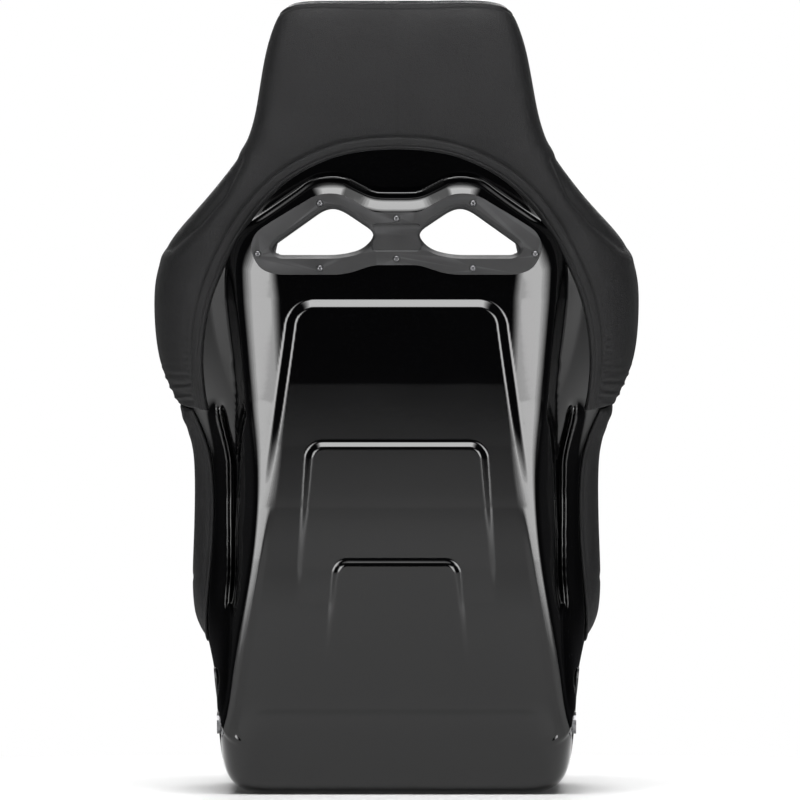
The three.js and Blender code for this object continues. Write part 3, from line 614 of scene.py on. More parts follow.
def even_rows(stops):
    """Row places s between (s, step in mm) stops, evenly spaced along the middle line."""
    rows = []
    for (start, step), (end, _) in zip(stops[:-1], stops[1:]):
        fine = np.linspace(start, end, 400)
        rows.append(even_places(fine, loft(0.0, fine, 0), step)[:-1])
    return np.concatenate(rows + [[stops[-1][0]]])


# Corners of the harness frame: x, z and radius; one half of its outline, and one eye.
BEZEL_HALF = [
    (26, 662.5, 8), (48, 676, 9), (64, 683.5, 9), (88, 683.5, 13), (141, 652, 18), (159, 640, 10),
    (165, 622, 12), (155, 600, 14), (137, 593, 10), (58, 593, 14), (26, 603.7, 8),
]
EYE = [
    (22, 640, 13), (64, 668, 13), (80, 668, 12), (141, 625, 9), (134, 615, 8), (62, 615, 16), (36, 622, 12),
]
SCREW_PLACES = [
    (0, 657), (86, 674), (156, 617.5), (86, 601.5), (0, 612), (-86, 601.5), (-156, 617.5), (-86, 674),
]
LAP_SLOT = {"y": 14, "z": 126, "length": 86, "height": 26}
CROTCH_SLOT = {"y": -134, "length": 84, "height": 30}
MOUNT_Y, MOUNT_Z = (-232, 53), 82


def rounded_outline(corners, grow=0.0, steps=7):
    """Points of a closed outline through (x, z, radius) corners, rounded and grown outward."""
    points = np.array([c[:2] for c in corners], dtype=float)
    radii = [c[2] for c in corners]
    area = np.sum(points[:, 0] * np.roll(points[:, 1], -1) - np.roll(points[:, 0], -1) * points[:, 1])
    out = []
    for i, point in enumerate(points):
        before, after = points[i - 1] - point, points[(i + 1) % len(points)] - point
        start = point + before / np.linalg.norm(before) * min(radii[i], np.linalg.norm(before) * 0.49)
        end = point + after / np.linalg.norm(after) * min(radii[i], np.linalg.norm(after) * 0.49)
        for t in np.linspace(0, 1, steps):
            out.append((1 - t)**2 * start + 2 * t * (1 - t) * point + t * t * end)
    out = np.array(out)
    if grow:
        tangent = np.roll(out, -1, axis=0) - np.roll(out, 1, axis=0)
        tangent /= np.linalg.norm(tangent, axis=1)[:, None]
        outward = np.stack([tangent[:, 1], -tangent[:, 0]], axis=1) * np.sign(area)
        out = out + outward * grow
    return out


def mirrored(corners):
    return [(-x, z, r) for x, z, r in corners][::-1]


BEZEL_CORNERS = BEZEL_HALF + mirrored(BEZEL_HALF)
EYES = [EYE, mirrored(EYE)]


def inside_polygon(polygon, x, z):
    inside = np.zeros(np.shape(x), dtype=bool)
    for (ax, az), (bx, bz) in zip(polygon, np.roll(polygon, -1, axis=0)):
        if az != bz:
            crossed = (min(az, bz) <= z) & (z < max(az, bz))
            inside ^= crossed & (ax + (z - az) / (bz - az) * (bx - ax) > x)
    return inside


def cell_centres(grid):
    return (grid[:-1, :-1] + grid[1:, :-1] + grid[:-1, 1:] + grid[1:, 1:]) / 4


def slot_distance(along, across, slot):
    """Distance from the middle line of a round-ended slot."""
    return np.hypot(np.clip(np.abs(along) - (slot["length"] - slot["height"]) / 2, 0, None), across)


def crotch_distance(x, y):
    return slot_distance(x, y - CROTCH_SLOT["y"], CROTCH_SLOT)


def shell_openings(centre):
    """Cells of the shell that its eyes, belt slots and inserts take away."""
    x, y, z = centre[..., 0], centre[..., 1], centre[..., 2]
    on_side = np.abs(x) > 150
    gone = (crotch_distance(x, y) < CROTCH_SLOT["height"] / 2) & (z < 30)
    gone |= (slot_distance(y - LAP_SLOT["y"], z - LAP_SLOT["z"], LAP_SLOT) < LAP_SLOT["height"] / 2) & on_side
    for mount_y in MOUNT_Y:
        gone |= (np.hypot(y - mount_y, z - MOUNT_Z) < 14) & on_side
    for eye in EYES:
        gone |= inside_polygon(rounded_outline(eye, 3.4), x, z) & (y > 100)
    return gone


def make_shell():
    fine = 2.0
    columns = even_columns(fine)
    rows = even_rows([(0, fine * 2), (BACK_FOOT, fine * 0.95), (17.6, 5), (LAST, 5)])
    u, s = np.meshgrid(columns, rows)
    front = shell_points(u, s, 0.0)
    back = shell_points(u, s, SHELL_WALL)
    keep = ~shell_openings(cell_centres(front))
    finish_piece(sheet_mesh("shell_skin", front, back, keep), "gloss_shell", replaces=["shell"])


make_shell()


# ---------- shoulder and head cover ----------
def unproject(x, z, inset, u, s):
    """Loft parameters whose point shows at (x, z) from behind, by Newton steps from (u, s)."""
    for _ in range(12):
        here = loft(u, s, inset)
        step = 1e-4
        du = (loft(u + step, s, inset) - here) / step
        ds = (loft(u, s + step, inset) - here) / step
        off_x, off_z = x - here[..., 0], z - here[..., 2]
        turn = du[..., 0] * ds[..., 2] - ds[..., 0] * du[..., 2]
        u = np.clip(u + (off_x * ds[..., 2] - off_z * ds[..., 0]) / turn, 0, 1 - 2e-4)
        s = np.clip(s + (du[..., 0] * off_z - du[..., 2] * off_x) / turn, 0, LAST - 2e-4)
    return u, s


# Where lines across the cover run from: height on its lower edge, to (u, s) on the rim.
COVER_LINES = [
    (440, 1, 13.45), (492, 1, 14.25), (530, 1, 14.95), (568, 1, 15.7), (626, 1, 16.8), (674, 1, 18.1),
    (713, 1, 19.7), (722, 1, 21.0), (727.5, 1, LAST), (732.3, 0.5, LAST), (734, 0, LAST),
]
HEM = 14.0


def cover_paths(count):
    """(u, s) of the cover's lower edge and of its rim, from the foot to the middle of the head."""
    run = run_along(ARCH)
    at = np.linspace(0, run[-1], count)[::-1]
    x = np.interp(at, run, ARCH[:, 0])
    z = np.interp(at, run, ARCH[:, 1])
    heights, rim_u, rim_s = map(np.array, zip(*COVER_LINES))
    row_guess = np.interp(z, [400, 480, 560, 620, 680, 740], [13, 14, 15, 16, 17, 18])
    edge_u, edge_s = unproject(x, z, -COVER_SKIN, np.clip(x / 260, 0, 0.9), row_guess - 0.5)
    line = np.interp(z, heights, np.arange(len(heights)))
    places = np.arange(len(heights))
    return edge_u, edge_s, np.interp(line, places, rim_u), np.interp(line, places, rim_s)


SHOULDER_FOLD = [(172, 722), (180, 704), (191, 681), (217, 652), (252, 624)]


def cover_relief(x, z, from_arch, from_rim, side):
    """How far the cover stands off the loft: hem, seams, folds and gathers."""
    ax = np.abs(x)
    out = COVER_SKIN + 1.3 * smoothstep(from_arch / 2.5) * (1 - smoothstep((from_arch - HEM + 1.5) / 3))
    out -= 2.2 * bell(from_arch - HEM - 0.8, 1.7)
    out += 1.2 * smoothstep((from_arch - HEM - 2) / 16) * smoothstep(from_rim / 14)
    out -= 1.1 * bell(from_arch - 3.6, 0.8)
    top = smoothstep((z - 855) / 14)
    seam = 5.5 + 8.0 * top
    out -= 1.6 * bell(from_rim - seam, 1.5)
    out += 0.6 * bell(from_rim - seam + 4, 3.0)
    fold = polyline_distance(ax, z, SHOULDER_FOLD)
    out -= 2.6 * bell(fold, 3.6) * smoothstep(from_arch / 30)
    out += 1.5 * bell(fold - 12, 8.0) * smoothstep(from_arch / 30)
    foot = smoothstep((505 - z) / 40)
    gathers = np.sin(z * 0.62 + 1.3 * np.sin(ax * 0.11) + side)
    gathers += 0.5 * np.sin(z * 1.05 + 2.1 * side + ax * 0.05)
    out += 0.75 * gathers * foot * smoothstep((from_arch - HEM) / 8) * smoothstep(from_rim / 8)
    ruche = np.sin(z * 0.85 + 0.8 * np.sin(z * 0.09))
    out += 0.45 * ruche * bell(from_arch - HEM - 5, 6.0) * smoothstep((560 - z) / 60)
    waves = np.sin(ax * 0.041 + z * 0.017 + side) * np.sin(z * 0.032 - 0.7 * side)
    return out + 0.9 * waves * smoothstep(from_arch / 25)


# Columns of the cover, in mm from its hem and from its rim, dense where its seams lie.
NEAR_ARCH = np.array([
    0, 0.5, 1, 1.8, 2.6, 3.2, 3.6, 4.0, 4.6, 5.6, 7, 9, 11, 12.4, 13.4, 14.2, 15, 15.8, 16.8, 18.5, 21, 24,
])
NEAR_RIM = np.array([22, 19, 16.8, 15.2, 14, 13, 11.5, 9.5, 7.8, 6.6, 5.6, 4.6, 3.4, 2, 1, 0])


def cover_grid(half_lines):
    """Loft parameters of the whole cover, rows across from foot to foot, columns from hem to rim."""
    edge_u, edge_s, rim_u, rim_s = cover_paths(half_lines)
    share = np.linspace(0, 1, 60)
    middle = np.linspace(0, 1, 30)[1:-1]
    u_line = edge_u[:, None] + (rim_u - edge_u)[:, None] * share
    s_line = edge_s[:, None] + (rim_s - edge_s)[:, None] * share
    run = run_lengths(loft(u_line, s_line, 0), 1)
    length = run[:, -1]
    rows = []
    for i, full in enumerate(length):
        scale = min(1.0, full / 52)
        start, end = NEAR_ARCH * scale, full - NEAR_RIM * scale
        places = np.concatenate([start, start[-1] + (end[0] - start[-1]) * middle, end])
        rows.append(np.interp(places, run[i], share))
    q = np.array(rows)
    u = edge_u[:, None] + (rim_u - edge_u)[:, None] * q
    s = edge_s[:, None] + (rim_s - edge_s)[:, None] * q
    from_arch = np.array([np.interp(q[i], share, run[i]) for i in range(len(q))])
    return u, s, from_arch, length[:, None] - from_arch


def make_rear_cover():
    u, s, from_arch, from_rim = cover_grid(260)
    fronts, backs = [], []
    for side in (1, -1):
        flat = loft(u, s, 0)
        relief = cover_relief(flat[..., 0], flat[..., 2], from_arch, from_rim, side)
        front = loft(u, s, -relief)
        back = loft(u, s, -0.4)
        for grid, kept in ((front, fronts), (back, backs)):
            grid[..., 0] *= side
            kept.append(grid if side > 0 else grid[::-1][1:])
    obj = sheet_mesh("shoulder_cover", np.concatenate(fronts), np.concatenate(backs))
    finish_piece(obj, "cover", replaces=["rear_cover"])


make_rear_cover()


# ---------- padded edge rolls ----------
def roll_mesh(name, outer, inner, forward, steps=18):
    """A padded roll beyond an edge, from rows of outer and inner edge points and a forward direction."""
    middle = (outer + inner) / 2 + forward * 0.8
    half = (outer - inner) / 2
    angle = np.linspace(0, math.pi, steps)
    power = 0.82
    c = np.sign(np.cos(angle)) * np.abs(np.cos(angle))**power
    h = np.sin(angle)**power
    rows = middle[:, None] + half[:, None] * c[:, None] + forward[:, None] * ROLL_DEPTH * h[:, None]
    return new_object(name, metres(rows).reshape(-1, 3), tube_faces(len(rows), steps))


def unit(vectors):
    return vectors / np.linalg.norm(vectors, axis=-1, keepdims=True)


def rim_rows(s, outer_inset, inner_inset, ahead=None, turn=None):
    outer = loft(1.0, s, outer_inset)
    inner = loft(1.0, s, inner_inset)
    forward = loft(1.0, s, 0) - loft(0.9, s, 0)
    forward[..., 0] = 0
    forward = unit(forward)
    if ahead is not None:
        forward = unit(forward * (1 - turn)[:, None] + ahead * turn[:, None])
    return outer, inner, forward


def both_sides(side, middle):
    """Joins a right-hand run of rows, a middle run and the mirrored left-hand run."""
    flip = np.array([-1, 1, 1])
    return [np.concatenate([a, b, (a * flip)[::-1]]) for a, b in zip(side, middle)]


def make_edge_roll(node, s, outer, width, ahead, turn):
    """A roll up one side along places s, across the middle at the last of them, and down the other side."""
    ahead = unit(np.array(ahead))
    inner = PAD_START + width
    side = rim_rows(s, outer, inner, ahead, smoothstep(turn / 2))
    u = np.linspace(1, -1, 91)[1:-1]
    middle = (loft(u, s[-1], outer), loft(u, s[-1], inner), np.tile(ahead, (len(u), 1)))
    obj = roll_mesh(f"{node}_pad", *both_sides(side, middle))
    finish_piece(obj, "cover", replaces=[node])


def make_wing_strip(name, side):
    """The stuffed cover over the lower wing edge: a slim tube with a seam groove, closed at both ends."""
    v = np.linspace(0, 1, 26)
    foot, top, lap = 6.8, 13.4, 0.87
    s = np.linspace(foot, top, 170)
    vv, ss = np.meshgrid(v, s)
    u = lap + (1 - lap) * vv
    place = loft(u, ss, 0)
    z = place[..., 2]
    ends = np.minimum(ss - foot, top - ss) / 0.35
    round_end = np.sqrt(np.clip(1 - (1 - np.clip(ends, 0, 1))**2, 0, 1))
    tube = np.sqrt(np.clip(1 - ((vv - 0.56) / 0.46)**2, 0, 1))
    crease = 0.5 * np.sin(z * 0.33 + side) * smoothstep((z - 395) / 40) + 0.9 * bell(z - 248, 4)
    relief = 1.2 + (2.2 * bell(vv - 0.02, 0.05) + 6.8 * tube - crease * tube) * round_end
    front = loft(u, ss, -relief)
    back = loft(u, ss, -0.4)
    for grid in (front, back):
        grid[..., 0] *= side
    obj = sheet_mesh(f"wing_strip_{name}", front, back)
    finish_piece(obj, "cover", replaces=[f"wing_edge_cover_{name}"])
    outer, inner, forward = rim_rows(np.linspace(foot, top + 0.02, 120), -COVER_SKIN, PAD_START + ROLL_WIDTH)
    flip = np.array([side, 1, 1])
    roll = roll_mesh(f"wing_roll_{name}", outer * flip, inner * flip, forward * flip)
    finish_piece(roll, "cover", replaces=[f"wing_edge_roll_{name}"])


upper_s = np.linspace(COVER_FOOT + 0.01, LAST, 170)
make_edge_roll("upper_edge_roll", upper_s, -COVER_SKIN, ROLL_WIDTH, (0, -1, 0.12), upper_s - LAST + 2)
front_s = np.linspace(6.76, 0, 90)
make_edge_roll("front_edge_roll", front_s, 0, FRONT_ROLL_WIDTH, (0, -1, 0.5), 2 - front_s)
for side_name, side_sign in (("left", -1), ("right", 1)):
    make_wing_strip(side_name, side_sign)


# ---------- harness frame ----------
def leaning_prism(name, outline, near, far, far_outline=None):
    """A prism of an outline in x and z, from y near to y far at BEZEL_Z, leaning with the back."""
    far_outline = outline if far_outline is None else far_outline
    ends = []
    for points, y in ((outline, near), (far_outline, far)):
        rows = np.column_stack([points[:, 0], y + BEZEL_SLOPE * (points[:, 1] - BEZEL_Z), points[:, 1]])
        ends.append(metres(rows))
    count = len(outline)
    faces = [tuple(range(count)), tuple(count + i for i in range(count))[::-1]]
    for i in range(count):
        j = (i + 1) % count
        faces.append((i, j, count + j, count + i))
    return new_object(name, np.concatenate(ends), faces, smooth=False)


def apply_modifiers(obj):
    """Bakes an object's modifiers into its mesh."""
    depsgraph = bpy.context.evaluated_depsgraph_get()
    baked = bpy.data.meshes.new_from_object(obj.evaluated_get(depsgraph))
    obj.modifiers.clear()
    old = obj.data
    obj.data = baked
    bpy.data.meshes.remove(old)
    return obj


def boolean(obj, tool, operation):
    modifier = obj.modifiers.new("boolean", "BOOLEAN")
    modifier.operation = operation
    modifier.object = tool
    modifier.solver = "EXACT"
    apply_modifiers(obj)
    bpy.data.objects.remove(tool)
    return obj


def soften_edges(obj, width, angle=35, segments=4):
    """Rounds an object's sharp edges."""
    modifier = obj.modifiers.new("edges", "BEVEL")
    modifier.width = width * MM
    modifier.segments = segments
    modifier.limit_method = "ANGLE"
    modifier.angle_limit = math.radians(angle)
    modifier.use_clamp_overlap = True
    modifier.harden_normals = True
    apply_modifiers(obj)
    plate = Vector((0, math.cos(TILT), -math.sin(TILT)))
    for polygon in obj.data.polygons:
        polygon.use_smooth = abs(polygon.normal.dot(plate)) < 0.9995
    return obj


REAR_BEZEL_Y = rear_face(BEZEL_Z) + 1.2
FRONT_BEZEL_Y = 165.0
BEZEL_PLATE = 5.0
TUNNEL_WALL = 2.4
TILT = math.atan(BEZEL_SLOPE)
BRIDGE = [(-27, 620, 5), (27, 620, 5), (27, 649, 5), (-27, 649, 5)]


def make_bezel(name, node, start, towards_rear):
    """A ring plate with two bevelled eyes, a recessed bridge and screw seats, face at its outer side."""
    face = start + BEZEL_PLATE if towards_rear else start
    out = 1 if towards_rear else -1
    obj = leaning_prism(name, rounded_outline(BEZEL_CORNERS), start, start + BEZEL_PLATE)
    if towards_rear:
        front_end = FRONT_BEZEL_Y + BEZEL_PLATE + 0.4
        for eye in EYES:
            sleeve = leaning_prism("sleeve", rounded_outline(eye, TUNNEL_WALL), front_end, REAR_BEZEL_Y + 1)
            boolean(obj, sleeve, "UNION")
        wide = rounded_outline(BRIDGE, 4)
        dish = leaning_prism("dish", rounded_outline(BRIDGE), face - 1.6, face + 4, wide)
        boolean(obj, dish, "DIFFERENCE")
    for eye in EYES:
        boolean(obj, leaning_prism("eye", rounded_outline(eye), 90, 340), "DIFFERENCE")
        low, high = sorted([face - out * 4.2, face + out * 2])
        near = rounded_outline(eye, 0.01 if towards_rear else 6.2)
        far = rounded_outline(eye, 6.2 if towards_rear else 0.01)
        boolean(obj, leaning_prism("flare", near, low, high, far), "DIFFERENCE")
    if towards_rear:
        for x, z in SCREW_PLACES:
            seat = disc_tool(3.9, 3.0)
            seat.matrix_world = screw_matrix(x, z)
            bpy.context.view_layer.update()
            boolean(obj, seat, "DIFFERENCE")
    soften_edges(obj, 1.3)
    finish_piece(obj, "satin_plastic", replaces=[node])


def disc_tool(radius, length):
    """A plain round cutter along +Z, used only to sink the screw seats."""
    angles = np.linspace(0, 2 * math.pi, 32, endpoint=False)
    ring = np.column_stack([np.cos(angles) * radius, np.sin(angles) * radius, np.zeros(32)])
    rows = np.concatenate([ring, ring + [0, 0, length]])
    return new_object("seat_cutter", rows * MM, tube_faces(2, 32), smooth=False)


def screw_matrix(x, z):
    """Places a shape drawn along +Z square to the harness frame, on the screw seat at (x, z)."""
    out = BEZEL_PLATE * math.cos(TILT) - 0.9
    y = REAR_BEZEL_Y + BEZEL_SLOPE * (z - BEZEL_Z) + out * math.cos(TILT)
    place = metres(np.array([x, y, z - out * math.sin(TILT)]))
    return Matrix.Translation(Vector(place)) @ Matrix.Rotation(-math.pi / 2 - TILT, 4, "X")


def screw_mesh():
    """A button-head screw drawn along +Z with a hexagon socket."""
    profile = [
        (0.01, -9), (1.6, -9), (1.6, 0.3), (3.3, 0.3), (3.4, 0.5), (3.35, 1.1), (3.0, 1.7), (2.4, 2.15),
        (1.95, 2.3), (1.75, 2.3),
    ]
    around = 36
    rows = []
    for r, h in profile:
        for i in range(around):
            angle = 2 * math.pi * i / around
            rows.append((r * math.cos(angle), r * math.sin(angle), h))
    for height in (2.1, 0.8):
        for i in range(around):
            angle = 2 * math.pi * i / around
            flat = 1.15 / math.cos((angle % (math.pi / 3)) - math.pi / 6)
            rows.append((flat * math.cos(angle), flat * math.sin(angle), height))
    return np.array(rows), tube_faces(len(profile) + 2, around)


def make_screws():
    rows, faces = screw_mesh()
    for i, (x, z) in enumerate(SCREW_PLACES):
        turn = Matrix.Rotation(0.35 + 1.1 * i, 4, "Z")
        placed = [screw_matrix(x, z) @ turn @ Vector(row * MM) for row in rows]
        obj = new_object(f"bezel_screw_head_{i + 1}", placed, faces)
        finish_piece(obj, "steel", replaces=[f"bezel_screw_{i + 1}"])


make_bezel("harness_bezel_rear", "rear_bezel", REAR_BEZEL_Y, True)
make_bezel("harness_bezel_front", "front_bezel", FRONT_BEZEL_Y, False)
make_screws()


# ---------- pads and cushions ----------
class PadArea:
    """A patch of the loft under a pad, sampled on an even grid, with distances to its edges in mm."""

    def __init__(self, u, s, inset, step=5.0, side=1):
        fine_u = np.linspace(*u, 121)
        fine_s = np.linspace(*s, 121)
        self.u_lines = even_places(fine_u, loft(fine_u, np.mean(s), inset), step, least=8, extra=0)
        self.s_lines = even_places(fine_s, loft(np.mean(u), fine_s, inset), step, least=8, extra=0)
        self.u, self.s = np.meshgrid(self.u_lines, self.s_lines)
        self.inset = inset
        self.side = side
        base = loft(self.u, self.s, inset)
        self.from_left = run_lengths(base, 1)
        self.from_right = self.from_left[:, -1:] - self.from_left
        self.from_bottom = run_lengths(base, 0)
        self.from_top = self.from_bottom[-1:] - self.from_bottom
        self.p = self.from_left / self.from_left[:, -1:]
        self.q = self.from_bottom / self.from_bottom[-1:]

    def edge(self, corner=22.0):
        sides = np.minimum(self.from_left, self.from_right)
        ends = np.minimum(self.from_bottom, self.from_top)
        return rounded_distance(sides, ends, corner)


def place_side(points, side):
    points[..., 0] *= side
    return points


def pillow_height(area, thickness, crown, roundness=16.0, corner=24.0):
    edge = np.clip(area.edge(corner) / roundness, 0, 1)
    rounding = np.sqrt(np.clip(1 - (1 - edge)**2, 0, 1))
    swell = np.sqrt(np.clip(np.sin(math.pi * area.p) * np.sin(math.pi * area.q), 0, 1))
    return (thickness - crown) * (0.25 + 0.75 * rounding) + crown * swell


def coordinates(mesh):
    out = np.zeros(len(mesh.vertices) * 3)
    mesh.vertices.foreach_get("co", out)
    return out.reshape(-1, 3)


def point_tree(points):
    tree = KDTree(len(points))
    for i, point in enumerate(points):
        tree.insert(point, i)
    tree.balance()
    return tree


def inflate(obj, cap, back_points):
    """Rounds a pad off by cloth pressure. No point moves more than cap mm, and the back stays put."""
    remesh = obj.modifiers.new("voxels", "REMESH")
    remesh.mode = "VOXEL"
    remesh.voxel_size = VOXEL * MM
    apply_modifiers(obj)
    rest = coordinates(obj.data)
    tree = point_tree(back_points)
    clear = np.array([tree.find(point)[2] for point in rest]) / MM
    freedom = smoothstep((clear - 3) / 9)
    cloth = obj.modifiers.new("cloth", "CLOTH")
    cloth.settings.use_pressure = True
    cloth.settings.uniform_pressure_force = PRESSURE
    cloth.settings.effector_weights.gravity = 0
    cloth.settings.quality = 4
    cloth.settings.tension_stiffness = 12
    cloth.settings.compression_stiffness = 12
    cloth.settings.bending_stiffness = 0.6
    scene = bpy.context.scene
    for step in range(1, 21):
        scene.frame_set(step)
    depsgraph = bpy.context.evaluated_depsgraph_get()
    moved = coordinates(obj.evaluated_get(depsgraph).to_mesh()) - rest
    obj.modifiers.clear()
    scene.frame_set(1)
    length = np.linalg.norm(moved, axis=1, keepdims=True)
    moved *= np.minimum(1, cap * MM / np.maximum(length, 1e-9)) * freedom[:, None]
    obj.data.vertices.foreach_set("co", (rest + moved).ravel())
    smooth = obj.modifiers.new("smooth", "SUBSURF")
    smooth.levels = 1
    apply_modifiers(obj)


def sew(obj, lines, back_points):
    """Presses sewn channels into a pad's front along lines of points in metres."""
    tree = point_tree(np.concatenate(lines))
    back = point_tree(back_points)
    mesh = obj.data
    place = coordinates(mesh)
    normals = np.zeros(len(mesh.vertices) * 3)
    mesh.vertex_normals.foreach_get("vector", normals)
    normals = normals.reshape(-1, 3)
    reach = SEAM_WIDTH * 6 * MM
    for i, point in enumerate(place):
        distance = tree.find(point)[2]
        if distance < reach:
            clear = back.find(point)[2] / MM
            press = SEAM_DEPTH * bell(distance, SEAM_WIDTH * MM) * min(max((clear - 4) / 6, 0), 1)
            place[i] = point - normals[i] * press * MM
    mesh.vertices.foreach_set("co", place.ravel())
    mesh.polygons.foreach_set("use_smooth", [True] * len(mesh.polygons))
    mesh.update()


def surface_tree(obj):
    bm = bmesh.new()
    bm.from_mesh(obj.data)
    tree = BVHTree.FromBMesh(bm)
    bm.free()
    return tree


def resample(points, step):
    """Evenly spaced points along a polyline, step mm apart."""
    points = np.asarray(points)
    run = run_along(points)
    count = max(int(run[-1] / (step * MM)), 2)
    at = np.linspace(0, run[-1], count)
    return np.stack([np.interp(at, run, points[:, k]) for k in range(3)], axis=1)


STITCH_PROFILE = [(-0.5, 0.15), (-0.38, 0.8), (-0.15, 1.0), (0.15, 1.0), (0.38, 0.8), (0.5, 0.15)]


def add_stitches(name, obj, line, body):
    """A row of short thread stitches lying on a surface along a line of points in metres."""
    tree = surface_tree(obj)
    rows, faces = [], []
    around = 5
    points = resample(line, STITCH_SPACING)
    for before, after in zip(points[:-1], points[1:]):
        spot, normal, _, _ = tree.find_nearest(Vector((before + after) / 2))
        along = Vector(after - before)
        along = (along - normal * along.dot(normal)).normalized()
        across = normal.cross(along)
        faces += tube_faces(len(STITCH_PROFILE), around, len(rows))
        for share, width in STITCH_PROFILE:
            lift = (0.55 - 1.3 * share * share) * THREAD_RADIUS
            centre = spot + along * share * STITCH_LENGTH * MM + normal * lift * MM
            for i in range(around):
                angle = 2 * math.pi * i / around
                offset = across * math.cos(angle) + normal * math.sin(angle)
                rows.append(centre + offset * THREAD_RADIUS * width * MM)
    stitched = new_object(name, rows, faces)
    stitched.data.materials.append(THREAD)
    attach(stitched, body)


def add_piping(name, obj, line, body):
    """A round piping cord laid along a closed line on a surface, half sunk into it."""
    tree = surface_tree(obj)
    found = [tree.find_nearest(Vector(point)) for point in resample(line, 4.0)[:-1]]
    spots = np.array([spot for spot, _, _, _ in found])
    normals = np.array([normal for _, normal, _, _ in found])
    for _ in range(3):
        normals = (np.roll(normals, 1, 0) + normals * 2 + np.roll(normals, -1, 0)) / 4
        spots = (np.roll(spots, 1, 0) + spots * 2 + np.roll(spots, -1, 0)) / 4
    normals = unit(normals)
    across = unit(np.cross(normals, np.roll(spots, -1, 0) - np.roll(spots, 1, 0)))
    around = 10
    angles = 2 * math.pi * np.arange(around)[:, None] / around
    ring = across[:, None] * np.cos(angles) + normals[:, None] * np.sin(angles)
    rows = (spots + normals * PIPING_RADIUS * 0.35 * MM)[:, None] + ring * PIPING_RADIUS * MM
    count = len(spots)
    faces = []
    for j in range(count):
        for i in range(around):
            k = (i + 1) % around
            below, above = j * around, (j + 1) % count * around
            faces.append((below + i, below + k, above + k, above + i))
    finish_piece(new_object(name, rows.reshape(-1, 3), faces), "cover", body)


def area_line(area, p, q, height):
    """Points over an area at shares p across and q along, height mm above its back."""
    p, q = np.broadcast_arrays(np.asarray(p, float), np.asarray(q, float))
    lines_p = area.p[len(area.p) // 2]
    lines_q = area.q[:, area.q.shape[1] // 2]
    u = np.interp(p, lines_p, area.u_lines)
    s = np.interp(q, lines_q, area.s_lines)
    return metres(place_side(loft(u, s, area.inset + height), area.side))


def border_line(area, margin_p, margin_q, height):
    """A closed line round an area, set in from its edges by shares of its width and length."""
    turn = np.linspace(0, 2 * math.pi, 160)
    square = 0.28
    c, h = np.cos(turn), np.sin(turn)
    p = 0.5 + (0.5 - margin_p) * np.sign(c) * np.abs(c)**square
    q = 0.5 + (0.5 - margin_q) * np.sign(h) * np.abs(h)**square
    return area_line(area, p, q, height)


def soft_pad(name, node, area, thickness, crown, slot, cap, body="seat_frame", channels=(), seams=(),
             piping=None, keep=None):
    """A stuffed pad: cloth-inflated foam with sewn channels, seams, stitches and piping."""
    height = pillow_height(area, thickness * 0.95, crown)
    front = place_side(loft(area.u, area.s, area.inset + np.maximum(height, 1.2)), area.side)
    back = place_side(loft(area.u, area.s, area.inset + 0.2), area.side)
    obj = sheet_mesh(name, front, back, keep)
    back_points = metres(back).reshape(-1, 3)
    inflate(obj, cap, back_points)
    lines = [area_line(area, p, q, thickness) for p, q in channels]
    seam_lines = [area_line(area, p, q, thickness) for p, q in seams]
    dense = [resample(line, 1.5) for line in lines + seam_lines]
    if piping:
        dense.append(resample(border_line(area, *piping, thickness * 0.8), 1.5))
    snapped = []
    tree = surface_tree(obj)
    for line in dense:
        snapped.append(np.array([tree.find_nearest(Vector(point))[0] for point in line]))
    sew(obj, snapped, back_points)
    finish_piece(obj, slot, body, replaces=[node])
    for i, line in enumerate(seam_lines):
        for j, shift in enumerate((-1, 1)):
            moved = line + np.array([shift * SEAM_TO_STITCHES * MM * area.side, 0, 0])
            add_stitches(f"{name}_stitches_{i}_{j}", obj, moved, body)
    if piping:
        add_piping(f"{name}_piping", obj, snapped[-1], body)


ALONG = np.linspace(0, 1, 60)


def lines_across(start, end, places):
    """Channels from share start to share end of a pad's width, at shares of its length."""
    return [(start + (end - start) * ALONG, np.full(60, q)) for q in places]


def lines_along(start, end, places):
    """Seams from share start to share end of a pad's length, at shares of its width."""
    return [(np.full(60, p), start + (end - start) * ALONG) for p in places]


def make_cushion(node, area, thickness, cap, channels, keep=None):
    soft_pad(f"{node}_stuffed", node, area, thickness, 12, "fabric", cap, f"{node}_body",
             lines_across(0.17, 0.83, channels), lines_along(0.03, 0.97, (0.17, 0.83)),
             piping=(0.045, 0.045), keep=keep)


def make_cushions():
    back = PadArea((-0.46, 0.46), (8.5, 13.4), PAD_START + BACK_PAD + CUSHION_GAP)
    make_cushion("back_cushion", back, 30, 7, (0.16, 0.33, 0.50, 0.67, 0.84))
    seat = PadArea((-0.47, 0.47), (0.35, 4.75), PAD_START + BASE_PAD + CUSHION_GAP)
    centre = cell_centres(loft(seat.u, seat.s, seat.inset))
    keep = crotch_distance(centre[..., 0], centre[..., 1]) > 22
    make_cushion("seat_cushion", seat, 40, 8, (0.14, 0.28, 0.70, 0.85), keep)


